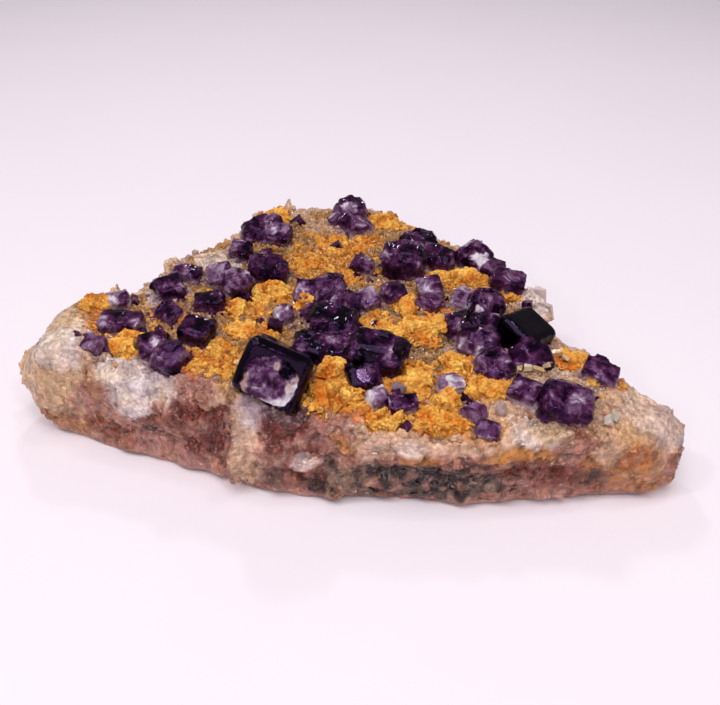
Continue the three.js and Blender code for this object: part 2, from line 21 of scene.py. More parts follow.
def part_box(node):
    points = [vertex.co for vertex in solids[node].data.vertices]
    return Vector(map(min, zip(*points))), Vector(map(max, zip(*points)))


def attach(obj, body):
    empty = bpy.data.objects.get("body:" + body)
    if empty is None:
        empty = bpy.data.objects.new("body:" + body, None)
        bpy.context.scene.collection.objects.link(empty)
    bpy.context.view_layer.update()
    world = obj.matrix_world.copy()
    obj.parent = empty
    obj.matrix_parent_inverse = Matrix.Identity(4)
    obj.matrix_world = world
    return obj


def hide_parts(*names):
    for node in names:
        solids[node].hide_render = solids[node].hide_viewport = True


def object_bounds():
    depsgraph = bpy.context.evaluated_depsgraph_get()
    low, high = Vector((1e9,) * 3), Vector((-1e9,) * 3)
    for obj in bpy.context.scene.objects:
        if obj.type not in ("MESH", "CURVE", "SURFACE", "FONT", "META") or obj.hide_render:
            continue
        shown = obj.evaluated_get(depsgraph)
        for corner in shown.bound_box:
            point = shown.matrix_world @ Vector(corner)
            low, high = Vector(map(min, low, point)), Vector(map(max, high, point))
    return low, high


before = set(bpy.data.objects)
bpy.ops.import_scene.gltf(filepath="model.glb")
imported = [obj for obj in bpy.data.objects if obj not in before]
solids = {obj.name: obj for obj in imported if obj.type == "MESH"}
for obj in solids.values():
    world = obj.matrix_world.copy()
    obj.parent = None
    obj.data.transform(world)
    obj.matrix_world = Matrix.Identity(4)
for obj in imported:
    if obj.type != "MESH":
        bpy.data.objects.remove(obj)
solids_box = [list(corner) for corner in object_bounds()]
crystals = sorted(name for name in solids if name.startswith("fluorite_"))
crusts = sorted(name for name in solids if name.startswith("crust_"))
MM = 0.001
print(len(crystals), "crystals,", len(crusts), "crusts and one plate")

# %% [markdown]
# ## Noise in plain arrays
#
# Broken stone is noise at several sizes. Blender's textures can move a mesh, but here the same
# noise also has to steer colour and the places of thousands of grains, so it is worked out in
# arrays, for all points at once. A hash of the lattice corner gives a number that looks random and
# is the same in each run. Blending the eight corners round a point gives soft hills. Looking for
# the nearest of scattered seeds gives cells, which is the pattern of grains that grew into each
# other. Each cell can have a number of its own and a slanted face, as a broken grain has.


# %% Soft noise and grain noise
def chance(cells, seed):
    """A repeatable number from 0 to 1 for each lattice cell."""
    wave = np.sin(cells @ (127.1, 311.7, 74.7) + seed * 19.19) * 43758.5453
    return wave - np.floor(wave)


def soft_noise(points, size, seed=0):
    """Hills and hollows from -1 to 1, about size millimetres apart."""
    scaled = points / size
    base = np.floor(scaled)
    part = scaled - base
    part = part * part * (3 - 2 * part)
    total = np.zeros(len(points))
    for corner in itertools.product((0, 1), repeat=3):
        share = np.prod(np.where(corner, part, 1 - part), axis=1)
        total += share * chance(base + corner, seed)
    return 2 * total - 1


def two_sizes(points, coarse, fine, share, seed):
    """Soft noise with a share of finer noise on it, which makes an edge ragged."""
    return soft_noise(points, coarse, seed) + share * soft_noise(points, fine, seed + 1)


def grain_noise(points, size, seed=0):
    """The nearest grain: distance to its middle in sizes, its number and its slanted face."""
    scaled = points / size
    base = np.floor(scaled)
    nearest = np.full(len(points), 9.0)
    number = np.zeros(len(points))
    slant = np.zeros(len(points))
    for step in itertools.product((-1, 0, 1), repeat=3):
        cell = base + step
        middle = cell + np.stack([chance(cell, seed + axis) for axis in (1, 2, 3)], axis=1)
        away = scaled - middle
        distance = np.linalg.norm(away, axis=1)
        closer = distance < nearest
        nearest = np.where(closer, distance, nearest)
        own = chance(cell, seed + 4)
        number = np.where(closer, own, number)
        lean = np.stack([np.cos(own * 40), np.sin(own * 40), np.cos(own * 97)], axis=1)
        slant = np.where(closer, (away * lean).sum(axis=1), slant)
    return nearest, number, slant


def ramp(value, low, high):
    """0 below low, 1 above high, smooth between."""
    part = np.clip((value - low) / (high - low), 0, 1)
    return part * part * (3 - 2 * part)


sample = np.random.default_rng(1).uniform(0, 50, (1000, 3))
print("soft noise spreads", soft_noise(sample, 5).std().round(2))

# %% [markdown]
# ## From solids to skins and back
#
# A solid's corners are read into an array in millimetres, where all the shaping is done. A voxel
# remesh wraps one closed skin round any pile of overlapping solids, with small even faces that
# noise can then move. It is the quickest way to make a lump that looks grown and not built.


# %% Read, wrap and build meshes
def read_solid(name):
    """A solid's corners in millimetres, and its triangles."""
    mesh = solids[name].data
    mesh.calc_loop_triangles()
    points = np.empty(len(mesh.vertices) * 3)
    mesh.vertices.foreach_get("co", points)
    triangles = np.empty(len(mesh.loop_triangles) * 3, int)
    mesh.loop_triangles.foreach_get("vertices", triangles)
    return points.reshape(-1, 3) / MM, triangles.reshape(-1, 3)


def pile(*meshes):
    """Several meshes as one."""
    points, faces, start = [], [], 0
    for more_points, more_faces in meshes:
        points.append(more_points)
        faces.append(more_faces + start)
        start += len(more_points)
    return np.concatenate(points), np.concatenate(faces)


def bare_mesh(name, points, faces):
    """A mesh from arrays, with no material."""
    mesh = bpy.data.meshes.new(name)
    mesh.vertices.add(len(points))
    mesh.vertices.foreach_set("co", np.ascontiguousarray(points, np.float32).ravel())
    sides = faces.shape[1]
    mesh.loops.add(faces.size)
    mesh.loops.foreach_set("vertex_index", faces.ravel().astype(np.int32))
    mesh.polygons.add(len(faces))
    mesh.polygons.foreach_set("loop_start", np.arange(0, faces.size, sides, dtype=np.int32))
    mesh.update(calc_edges=True)
    return mesh


def wrapped(points, faces, voxel):
    """One closed skin of small squares round all the solids given."""
    scratch = bpy.data.objects.new("scratch", bare_mesh("scratch", points, faces))
    bpy.context.scene.collection.objects.link(scratch)
    skin = scratch.modifiers.new("skin", "REMESH")
    skin.mode = "VOXEL"
    skin.voxel_size = voxel
    shown = scratch.evaluated_get(bpy.context.evaluated_depsgraph_get())
    made = shown.to_mesh()
    new_points = np.empty(len(made.vertices) * 3)
    made.vertices.foreach_get("co", new_points)
    corners = np.empty(len(made.loops), int)
    made.loops.foreach_get("vertex_index", corners)
    shown.to_mesh_clear()
    bpy.data.objects.remove(scratch)
    return new_points.reshape(-1, 3), corners.reshape(-1, 4)


def only_used(points, faces):
    """Drops the points that no face uses."""
    used = np.unique(faces)
    renumber = np.zeros(len(points), int)
    renumber[used] = np.arange(len(used))
    return points[used], renumber[faces]


def gathered(values, faces, count):
    """Adds up a value of each face at its corners."""
    total = np.empty((count, values.shape[1]))
    for axis in range(values.shape[1]):
        weights = np.repeat(values[:, axis], faces.shape[1])
        total[:, axis] = np.bincount(faces.ravel(), weights, count)
    return total


def outward(points, faces):
    """The direction that the surface faces at each point."""
    a, b, c = (points[faces[:, k]] for k in range(3))
    d = points[faces[:, 3]] if faces.shape[1] == 4 else c
    facing = np.cross(c - a, d - b) if faces.shape[1] == 4 else np.cross(b - a, c - a)
    total = gathered(facing, faces, len(points))
    return total / np.maximum(np.linalg.norm(total, axis=1, keepdims=True), 1e-9)


def hollowness(points, faces, passes=2):
    """How far each point lies in a hollow, in millimetres. Ridges are below 0."""
    facing = outward(points, faces)
    count = np.bincount(faces.ravel(), minlength=len(points))[:, None]
    mean = points
    for _ in range(passes):
        mean = gathered(mean[faces].mean(axis=1), faces, len(points)) / np.maximum(count, 1)
    return ((mean - points) * facing).sum(axis=1)


def build(name, points, faces, material, slot, stands_for=(), smooth=True, crease=None, **painted):
    """A piece of the specimen, with its painted values, in metres."""
    mesh = bare_mesh(name, points * MM, faces)
    mesh.polygons.foreach_set("use_smooth", np.full(len(faces), smooth))
    if crease:
        mesh.set_sharp_from_angle(angle=math.radians(crease))
    for label, values in painted.items():
        if values.ndim == 2:
            layer = mesh.color_attributes.new(label, "FLOAT_COLOR", "POINT")
            layer.data.foreach_set("color", np.c_[values, np.ones(len(values))].ravel())
        else:
            layer = mesh.attributes.new(label, "FLOAT", "POINT")
            layer.data.foreach_set("value", values)
    mesh.materials.append(material)
    piece = bpy.data.objects.new(name, mesh)
    bpy.context.scene.collection.objects.link(piece)
    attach(piece, "root")
    if stands_for:
        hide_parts(*stands_for)
    return piece


plate_points, plate_faces = read_solid("quartz_matrix")
print("the plate has", len(plate_faces), "triangles")

# %% [markdown]
# ## The height of the top
#
# The solid plate has a socket under every crystal and crust. Nobody sees into them, but the real
# surface runs straight up to each crystal. So the sockets are filled: rays shot down on a grid give
# the height of the top, the cells over a socket are thrown away, and their heights are let settle
# like a stretched skin between their neighbours. The same grid tells later where a place is
# covered, how near a purple crystal is and how far in from the outline it lies.

# %% Shoot rays down and fill the sockets
CELL = 0.5
low_corner, high_corner = (np.array(corner) / MM for corner in solids_box)
xs = np.arange(low_corner[0], high_corner[0], CELL)
ys = np.arange(low_corner[1], high_corner[1], CELL)


def heights(points, faces):
    """The height of a mesh's top over the grid, and not-a-number where it isn't."""
    tree = BVHTree.FromPolygons(points.tolist(), faces.tolist())
    down = Vector((0, 0, -1))
    rows = np.full((len(xs), len(ys)), np.nan)
    left, front = points[:, :2].min(axis=0)
    right, back = points[:, :2].max(axis=0)
    for i in np.flatnonzero((xs >= left) & (xs <= right)):
        for j in np.flatnonzero((ys >= front) & (ys <= back)):
            hit = tree.ray_cast(Vector((xs[i], ys[j], 60)), down)[0]
            if hit is not None:
                rows[i, j] = hit.z
    return rows


def spread(mask, steps):
    """The mask, grown by a number of cells."""
    for _ in range(steps):
        wide = mask.copy()
        wide[1:] |= mask[:-1]
        wide[:-1] |= mask[1:]
        wide[:, 1:] |= mask[:, :-1]
        wide[:, :-1] |= mask[:, 1:]
        mask = wide
    return mask


plate_top = heights(plate_points, plate_faces)
crystal_tops = np.full(plate_top.shape, np.nan)
purple_near = np.zeros(plate_top.shape)
for name in crystals + crusts:
    tops = heights(*read_solid(name))
    crystal_tops = np.fmax(crystal_tops, tops)
    purple_near = np.maximum(purple_near, (~np.isnan(tops)) * float(name in crystals))
for _ in range(9):  # blurred, so that the purple fades over about 3 mm
    padded = np.pad(purple_near, 1)
    beside = padded[:-2, 1:-1] + padded[2:, 1:-1] + padded[1:-1, :-2] + padded[1:-1, 2:]
    purple_near = (purple_near + beside) / 5
covered = ~np.isnan(crystal_tops)
on_plate = ~np.isnan(plate_top)
open_cells = spread(covered, 2)
top = np.where(open_cells | ~on_plate, np.nan, plate_top)
settled = np.where(np.isnan(top), np.nanmedian(top), top)
for _ in range(400):
    near = (settled[:-2, 1:-1] + settled[2:, 1:-1] + settled[1:-1, :-2] + settled[1:-1, 2:]) / 4
    settled[1:-1, 1:-1] = np.where(np.isnan(top[1:-1, 1:-1]), near, settled[1:-1, 1:-1])
print("sockets cover", round(100 * (open_cells & on_plate).sum() / on_plate.sum()), "% of the top")


def cell_of(places):
    """The row and column of the grid under each place."""
    i = np.clip(np.round((places[:, 0] - xs[0]) / CELL).astype(int), 0, len(xs) - 1)
    j = np.clip(np.round((places[:, 1] - ys[0]) / CELL).astype(int), 0, len(ys) - 1)
    return i, j


reach_in = np.zeros(on_plate.shape)
shrinking = on_plate
for _ in range(16):
    reach_in += shrinking
    shrinking = ~spread(~shrinking, 1)


def ground(places):
    """The height of the filled top under each place."""
    return settled[cell_of(places)]


def is_covered(places):
    """True where a crystal or crust stands over the place."""
    return covered[cell_of(places)]


def inward(places):
    """How far a place is in from the plate's outline, in millimetres, up to 8."""
    return reach_in[cell_of(places)] * CELL


# %% Build the plug that fills them
def plug():
    """A closed slab under the settled top, a little inside the plate's outline."""
    inside = ~spread(~on_plate, 3)
    cells = inside[:-1, :-1] & inside[1:, :-1] & inside[:-1, 1:] & inside[1:, 1:]
    grid_x, grid_y = np.meshgrid(xs, ys, indexing="ij")
    upper = np.stack([grid_x, grid_y, settled], axis=-1).reshape(-1, 3)
    lower = upper.copy()
    lower[:, 2] = 3.0
    number = np.arange(grid_x.size).reshape(grid_x.shape)
    i, j = np.nonzero(cells)
    a, b, c, d = number[i, j], number[i + 1, j], number[i + 1, j + 1], number[i, j + 1]
    shift = grid_x.size
    faces = [np.stack([a, b, c, d], 1), np.stack([d, c, b, a], 1) + shift]
    padded = np.pad(cells, 1)
    for di, dj, start, end in ((0, -1, a, b), (1, 0, b, c), (0, 1, c, d), (-1, 0, d, a)):
        edge = ~padded[i + 1 + di, j + 1 + dj]
        start, end = start[edge], end[edge]
        faces.append(np.stack([end, start, start + shift, end + shift], 1))
    return np.concatenate([upper, lower]), np.concatenate(faces)


plug_points, plug_faces = only_used(*plug())
plug_triangles = np.concatenate([plug_faces[:, [0, 1, 2]], plug_faces[:, [0, 2, 3]]])
print("the plug has", len(plug_triangles), "triangles")

# %% [markdown]
# ## The colours of the stone
#
# Iron is what colours this quartz: cream where it is clean, brown and red-brown where iron rust
# runs through it, near black in one band low on the front, and ochre on top. The zones have soft
# ragged edges, so each is a blurred ellipsoid whose edge is pushed about by noise. The table gives
# a zone's middle and its half sizes in millimetres, its colour and its strength.


# %% Colours, and where each one is
def linear(code):
    """An sRGB hex colour as the linear numbers that a shader wants."""
    parts = [int(code[k : k + 2], 16) / 255 for k in (1, 3, 5)]
    return np.array([p / 12.92 if p <= 0.04045 else ((p + 0.055) / 1.055) ** 2.4 for p in parts])


STONE = {
    "cream": "#d3ac86",
    "white": "#e2cac3",
    "pale_pink": "#d8ae93",
    "buff": "#c79b78",
    "pink_grey": "#b0786a",
    "ochre_brown": "#b0703a",
    "ochre": "#c68030",
    "orange": "#cb7124",
    "rust_stain": "#a8560f",
    "brown": "#88452a",
    "red_brown": "#6f2416",
    "dark_brown": "#421811",
    "black_brown": "#250906",
    "druse": "#ae7d48",
    "druse_dark": "#7f5826",
    "lilac_grey": "#86607c",
}
STONE = {name: linear(code) for name, code in STONE.items()}

ZONES = [
    (-44.1, -19.4, 11.4, 4.7, 7.0, 8.8, "cream", 0.9),
    (-43.1, -16.9, 15.3, 3.7, 7.0, 2.7, "white", 0.8),
    (-44.6, -19.7, 2.2, 5.5, 7.0, 2.8, "ochre_brown", 0.7),
    (-50.0, -15.5, 8.5, 3.4, 8.0, 7.0, "cream", 0.9),
    (-36.3, -22.1, 13.8, 1.7, 7.0, 5.6, "ochre_brown", 0.55),
    (-30.1, -24.0, 13.2, 5.4, 6.0, 5.6, "white", 1),
    (-25.1, -25.0, 14.2, 2.4, 7.0, 3.6, "white", 0.8),
    (-33.8, -22.4, 4.1, 5.0, 7.0, 2.9, "brown", 0.8),
    (-28.0, -25.7, 6.6, 1.5, 7.0, 1.5, "black_brown", 0.9),
    (-19.4, -28.9, 10.2, 6.1, 7.0, 6.9, "red_brown", 1),
    (-20.4, -26.2, 15.1, 3.8, 7.0, 2.2, "pink_grey", 0.8),
    (-21.2, -27.9, 2.7, 6.1, 7.0, 0.9, "pink_grey", 0.8),
    (-12.6, -32.1, 9.6, 2.2, 7.0, 8.1, "pale_pink", 1),
    (-11.9, -30.5, 13.5, 1.7, 7.0, 2.8, "white", 0.7),
    (-5.0, -32.8, 11.4, 4.8, 7.0, 5.2, "red_brown", 1),
    (-6.4, -31.4, 14.4, 3.4, 7.0, 1.4, "dark_brown", 0.8),
    (-3.6, -33.8, 7.0, 2.2, 7.0, 1.6, "white", 0.7),
    (-9.2, -32.7, 4.2, 2.4, 7.0, 2.5, "dark_brown", 0.7),
    (0.1, -32.9, 12.9, 3.1, 7.0, 3.5, "pink_grey", 0.9),
    (2.1, -34.4, 10.6, 2.8, 7.0, 1.6, "ochre", 0.7),
    (9.6, -35.2, 11.7, 4.2, 7.0, 2.4, "pale_pink", 0.9),
    (20.0, -34.4, 12.2, 9.3, 7.0, 2.4, "pale_pink", 1.0),
    (10.3, -35.3, 11.0, 2.4, 7.0, 1.4, "white", 0.8),
    (29.2, -33.8, 12.3, 3.6, 7.0, 1.9, "white", 0.7),
    (26.4, -35.2, 9.8, 6.3, 7.0, 1.5, "ochre", 0.95),
    (12.5, -35.4, 8.7, 3.7, 7.0, 1.0, "ochre", 0.7),
    (9.8, -34.7, 4.5, 11.8, 7.0, 3.6, "black_brown", 1),
    (0.4, -34.3, 4.2, 4.6, 7.0, 2.8, "dark_brown", 0.9),
    (20.5, -35.4, 5.4, 7.9, 7.0, 2.8, "black_brown", 0.85),
    (28.7, -35.4, 7.0, 5.0, 7.0, 2.3, "red_brown", 0.9),
    (33.4, -34.6, 5.4, 4.6, 7.0, 1.8, "red_brown", 0.8),
    (37.5, -34.4, 5.0, 2.3, 7.0, 1.6, "black_brown", 0.9),
    (45.0, -33.1, 10.9, 5.1, 7.0, 7.0, "buff", 0.9),
    (41.6, -33.8, 8.4, 5.6, 7.0, 3.2, "ochre_brown", 0.95),
    (40.4, -33.8, 8.6, 4.6, 7.0, 2.5, "rust_stain", 0.9),
    (44.8, -34.3, 3.8, 5.6, 7.0, 1.8, "ochre_brown", 0.85),
    (-42.8, -15.6, 15.5, 4.1, 3.7, 7.0, "white", 0.9),
    (-36.9, -12.7, 18.1, 2.2, 4.3, 7.0, "orange", 0.7),
    (-29.0, -1.0, 16.5, 4.0, 4.0, 7.0, "white", 0.7),
    (-22.5, 8.0, 16.5, 4.2, 3.6, 7.0, "white", 0.7),
    (-18.9, 18.2, 16.5, 3.8, 3.3, 7.0, "pale_pink", 0.7),
    (-26.4, -10.2, 17.6, 3.2, 2.7, 7.0, "ochre", 0.7),
    (-18.4, -19.9, 16.0, 3.9, 4.7, 7.0, "orange", 0.9),
    (-13.2, -15.4, 15.8, 4.7, 3.7, 7.0, "druse", 0.8),
    (-14.4, -22.6, 16.1, 2.1, 3.0, 7.0, "orange", 0.8),
    (-18.8, -9.1, 15.7, 4.2, 4.5, 7.0, "druse", 0.8),
    (-10.5, -10.5, 15.9, 3.2, 3.9, 7.0, "ochre", 0.7),
    (-1.5, 10.0, 15.5, 8.4, 9.4, 7.0, "ochre", 0.9),
    (-7.3, 16.9, 16.4, 4.9, 3.9, 7.0, "druse", 0.7),
    (1.2, 17.5, 14.7, 6.5, 3.3, 7.0, "orange", 0.6),
    (-1.9, 24.2, 16.5, 5.9, 3.4, 7.0, "pale_pink", 0.5),
    (-10.1, 28.6, 17.0, 3.6, 2.8, 7.0, "pale_pink", 0.7),
    (12.2, 28.6, 14.3, 6.1, 3.5, 7.0, "ochre", 0.6),
    (6.0, -7.6, 14.8, 3.3, 3.4, 7.0, "ochre", 0.8),
    (14.5, -12.1, 14.3, 4.8, 4.4, 7.0, "druse_dark", 0.9),
    (16.2, -19.5, 15.8, 3.9, 2.6, 7.0, "druse_dark", 0.8),
    (24.9, -28.5, 13.7, 4.3, 3.4, 7.0, "pale_pink", 0.8),
    (20.7, -33.3, 14.1, 3.6, 2.4, 7.0, "ochre", 0.7),
    (6.8, -33.8, 14.3, 4.1, 2.8, 7.0, "pale_pink", 0.8),
    (30.7, -32.1, 15.2, 3.3, 3.3, 7.0, "cream", 0.8),
    (37.8, -16.5, 14.2, 2.2, 2.7, 7.0, "orange", 0.6),
    (41.5, -22.0, 12.5, 3.2, 3.0, 7.0, "orange", 0.6),
    (40.1, -30.5, 12.3, 4.3, 5.4, 7.0, "buff", 0.9),
    (47.6, -28.4, 12.4, 4.4, 5.0, 7.0, "white", 0.45),
    (34.6, -2.9, 15.3, 1.7, 3.5, 7.0, "white", 0.8),
    (34.0, -9.0, 13.5, 3.0, 3.0, 7.0, "lilac_grey", 0.6),
    (1.8, -24.7, 15.4, 2.3, 2.5, 7.0, "lilac_grey", 0.7),
    (23.5, 3.6, 14.4, 5.3, 3.6, 7.0, "ochre", 0.6),
    (27.2, -26.1, 16.2, 4.3, 2.0, 7.0, "pale_pink", 0.8),
    (-27.2, -21.1, 17.6, 3.0, 2.0, 7.0, "pale_pink", 0.5),
    (-37.5, -16.5, 17.5, 2.2, 2.6, 7.0, "cream", 0.6),
    (34.4, -1.4, 14.0, 3.6, 4.4, 7.0, "white", 0.9),
    (1.5, -27.5, 15.0, 4.5, 4.5, 5.0, "orange", 0.85),
    (10.0, -24.5, 15.0, 5.5, 4.5, 5.0, "orange", 0.8),
    (14.5, -31.5, 14.0, 6.5, 3.4, 5.0, "orange", 0.8),
    (20.5, -23.5, 15.0, 5.0, 4.0, 5.0, "orange", 0.7),
    (5.0, -30.3, 15.0, 4.8, 3.0, 4.0, "orange", 0.9),
    (-14.0, -3.0, 15.5, 7.0, 3.4, 5.0, "ochre", 0.7),
    (-44.0, -11.0, 15.5, 3.4, 3.6, 5.0, "cream", 0.85),
    (-36.5, -1.0, 15.5, 3.4, 3.2, 5.0, "pale_pink", 0.8),
    (-28.0, 5.5, 15.5, 3.0, 3.6, 5.0, "pale_pink", 0.7),
    (-39.4, -6.8, 16.0, 2.2, 3.8, 5.0, "orange", 0.95),
]
SPOTTED = ("red_brown", "dark_brown", "black_brown", "brown")  # broken up by pale islands
CLEAN = ("cream", "white", "pale_pink")
RUSTY = {"orange": 1.0, "ochre": 0.32}  # how thick the rust coat is in a zone of this colour
CLEAN_RIM = 5.0  # how far in from the outline the rust stays off the top

# %% [markdown]
# ## Mixing the colours
#
# The zones cover what the eye goes to. Between and behind them the colour comes from noise alone:
# pale near the top edge and brown lower down, with milky and rusty patches, as on any broken
# quartz. A painted lilac halo round the purple crystals stands for the purple light that clear
# quartz shows of what stands next to it. Two last factors make each millimetre a little lighter,
# darker or warmer than the next.


# %% The colour at any point
def faded(colour, share, name):
    """The colour, moved by a share towards one of the stone's colours."""
    return colour + share[:, None] * (STONE[name] - colour)


def zone_shares(points):
    """Each zone's share at each point, in the table's order."""
    push = 0.36 * soft_noise(points, 2.6, 5) + 0.24 * soft_noise(points, 1.1, 6)
    islands = 0.25 + 0.75 * ramp(two_sizes(points, 1.9, 0.8, 0.6, 19), -0.55, 0.1)
    for x, y, z, rx, ry, rz, name, strength in ZONES:
        distance = np.linalg.norm((points - (x, y, z)) / (rx, ry, rz), axis=1)
        share = strength * ramp(distance + push, 1.16, 0.8)
        yield name, share * (islands if name in SPOTTED else 1.0)


def stone_colour(points):
    """The colour of the quartz, how rusty it is on top and how clean, from 0 to 1."""
    x, y, z = points.T
    up = ramp(z, 12.0, 15.0)
    behind = ramp(y + 17 + 0.2 * (x + 50), 5.0, 10.0)
    patches = ramp(soft_noise(points * (1, 1, 1.5), 6.5, 50), -0.1, 0.5)
    paler = ramp(z + 4.5 * soft_noise(points, 6.0, 51) + soft_noise(points, 1.6, 52), 4.5, 9.5)
    milky = ramp(two_sizes(points, 5.0, 1.3, 0.4, 53), 0.2, 0.6)
    streaks = soft_noise(points * (1, 1, 1.6), 5.5, 55) + 0.4 * soft_noise(points, 1.3, 56)
    colour = faded(STONE["pink_grey"], 0.75 * patches, "brown")
    colour = faded(colour, 0.85 * behind * paler, "pale_pink")
    colour = faded(colour, 0.8 * behind * milky, "white")
    colour = faded(colour, 0.8 * behind * ramp(streaks, 0.3, 0.65), "ochre_brown")
    colour = faded(colour, up, "druse")
    rim = ramp(inward(points) + 0.9 * soft_noise(points, 3.0, 9), CLEAN_RIM, 2.0) * up
    pale_rim = (STONE["pale_pink"] + STONE["white"]) / 2
    colour = colour + 0.85 * rim[:, None] * (pale_rim - colour)
    rust, clean = np.zeros(len(points)), rim
    for name, share in zone_shares(points):
        colour = faded(colour, share, name)
        rust = rust + share * (RUSTY.get(name, 0.0) - rust)
        clean = clean + share * ((name in CLEAN) - clean)
    # Painted purple light: near a purple crystal the top is tinted lilac, standing for the purple
    # that clear quartz shows of the crystal next to it.
    purple_light_halo = ramp(purple_near[cell_of(points)], 0.05, 0.5)
    purple_light_halo = purple_light_halo * ramp(soft_noise(points, 1.7, 18), -0.6, 0.5)
    colour = faded(colour, 0.7 * purple_light_halo * up, "lilac_grey")
    rust = rust * (1 - 0.5 * purple_light_halo)
    rind = ramp(z + 1.1 * soft_noise(points, 2.0, 8), 2.2, 1.3)
    rind = rind * ramp(soft_noise(points, 3.1, 7), -0.3, 0.1)
    milk = ramp(two_sizes(points, 2.1, 0.9, 0.5, 14), 0.25, 0.75) * (1 - up)
    colour = faded(colour, np.maximum(0.22 * rind, 0.32 * milk), "pale_pink")
    mottle = 1 + 0.26 * soft_noise(points, 1.5, 16) + 0.18 * soft_noise(points, 0.6, 17)
    warmth = 1 + soft_noise(points, 2.8, 44)[:, None] * (0.06, 0.02, -0.14)
    return np.clip(colour * warmth * mottle[:, None], 0, 1), rust, clean


print(len(ZONES), "zones,", len(STONE), "colours")

# %% [markdown]
# ## The quartz plate
#
# The plate and its plug are wrapped in one skin, and the skin is roughened: broken quartz has
# ledges a few millimetres across, lumps of 2 to 3 mm with slanted faces, and a grain of about a
# millimetre. On top the grains are steeper, because there they are the tips of small crystals. The
# two ends are glassier in the real stone, so they are kept calmer. The flat underside is kept
# flat, because the specimen rests on it.

# %% Wrap and roughen the plate
SKIN = 0.40  # mm, two pixels of the picture

both = pile((plate_points, plate_faces), (plug_points, plug_triangles))
stone_points, stone_faces = wrapped(*both, SKIN)


def roughened(points, faces):
    """The skin with ledges and lumps on its sides and crystal tips on its top."""
    facing = outward(points, faces)
    upward = ramp(facing[:, 2], 0.3, 0.8)
    above = ramp(points[:, 2], 0.25, 1.4)
    lumps, lump_number, facet = grain_noise(points, 2.6, 11)
    bent = points + 0.3 * soft_noise(points, 1.3, 3)[:, None]
    grains, grain_number, _ = grain_noise(bent, 1.15, 21)
    ledges = 0.5 * soft_noise(points * (1, 1, 1.5), 4.6, 31) + 0.22 * soft_noise(points, 1.9, 32)
    side = ledges + 0.5 * (0.5 - lumps) + 0.45 * facet
    side = side + 0.14 * (0.5 - grains) + 0.3 * (lump_number - 0.5)
    crest = 0.30 * (0.5 - lumps) + 0.75 * (0.45 - grains) + 0.35 * (grain_number - 0.5)
    move = side * (1 - upward) + crest * upward
    calm = 1 - 0.7 * ramp(points[:, 0], -35.0, -41.0) - 0.6 * ramp(points[:, 0], 35.0, 41.0)
    return points + facing * (above * calm * move)[:, None]


def rounded_tip(points):
    """The left end is domed on top, and its tip draws in above and below."""
    x, y, z = points.T
    end = ramp(x, -44.0, -51.0)
    draw = 3.2 * ramp(z, 7.0, 16.0) + 2.2 * ramp(z, 5.5, 0.5)
    dome = 1.7 * ramp(x, -35.0, -41.0) * (1 - 0.4 * end)
    rim = 1.5 * ramp(inward(points), 4.5, 1.5) * ramp(x, -20.0, -28.0) * ramp(y, -16.0, -9.0)
    lift = np.maximum(dome, rim) * ramp(z, 8.0, 14.5)
    return points + np.stack([end * draw, 0.35 * end * draw, lift], axis=1)


def flared_foot(points, facing):
    """The low edge at the front left stands out in a thin lip."""
    x, _, z = points.T
    where = ramp(x, -44.0, -36.0) * ramp(x, 2.0, -8.0) * ramp(-facing[:, 1], 0.2, 0.7)
    lip = where * ramp(z, 5.5, 0.6) * (1.3 + 0.5 * soft_noise(points, 3.5, 33))
    return points - lip[:, None] * (0.1, 1.0, 0.0)


stone_facing = outward(stone_points, stone_faces)
stone_points = flared_foot(rounded_tip(roughened(stone_points, stone_faces)), stone_facing)
underside = (stone_points[stone_faces][:, :, 2] < 0.12).all(axis=1)
print("plate:", 2 * len(stone_faces), "triangles, of which underside", 2 * underside.sum())

# %% Join the flat underside into few faces
def with_plain_underside(points, faces, flat):
    """Drops the inside of the flat area and closes it with one fan from its middle."""
    kept = faces[~flat]
    edges = np.concatenate([kept[:, [k, (k + 1) % 4]] for k in range(4)])
    codes = edges[:, 0] * len(points) + edges[:, 1]
    back = edges[:, 1] * len(points) + edges[:, 0]
    rim = edges[~np.isin(codes, back)]
    middle = points[np.unique(rim)].mean(axis=0)
    middle[2] = 0.0
    fan = np.column_stack([rim[:, 1], rim[:, 0], np.full(len(rim), len(points))])
    points = np.concatenate([points, middle[None]])
    return only_used(points, np.concatenate([kept[:, [0, 1, 2]], kept[:, [0, 2, 3]], fan]))


stone_points, stone_faces = with_plain_underside(stone_points, stone_faces, underside)
stone_facing = outward(stone_points, stone_faces)
print("plate:", len(stone_faces), "triangles")

# %% [markdown]
# ## One way to add a node
#
# Every material below is a handful of nodes. One function adds a node, sets its properties and
# fills its inputs, with a number, a colour or a link from another node. The kinds that come back
# in each material get a short function of their own, which hands on the output. That way a
# material reads from top to bottom like a recipe, and a size in it is in millimetres.


# %% The material helpers
def add_node(tree, kind, inputs=None, **properties):
    """A new node. An input that is given another node's output is linked to it."""
    node = tree.nodes.new(kind)
    for key, value in properties.items():
        setattr(node, key, value)
    for key, value in (inputs or {}).items():
        if isinstance(value, bpy.types.NodeSocket):
            tree.links.new(value, node.inputs[key])
        else:
            node.inputs[key].default_value = value
    return node


def new_material(name):
    """An empty material, its tree, and the place of each point on the piece."""
    material = bpy.data.materials.new(name)
    material.use_nodes = True
    material.node_tree.nodes.clear()
    tree = material.node_tree
    place = add_node(tree, "ShaderNodeTexCoord").outputs["Object"]
    return material, tree, place


def shade(colour):
    """A linear colour with full alpha."""
    return (*colour, 1.0)


def painted_value(tree, label, output="Fac"):
    """A value that was painted on the piece."""
    return add_node(tree, "ShaderNodeAttribute", attribute_name=label).outputs[output]


def noise(tree, place, size, detail, **more):
    """Soft noise of a size in millimetres."""
    inputs = {"Vector": place, "Scale": 1 / (size * MM), "Detail": detail, **more}
    return add_node(tree, "ShaderNodeTexNoise", inputs).outputs["Fac"]


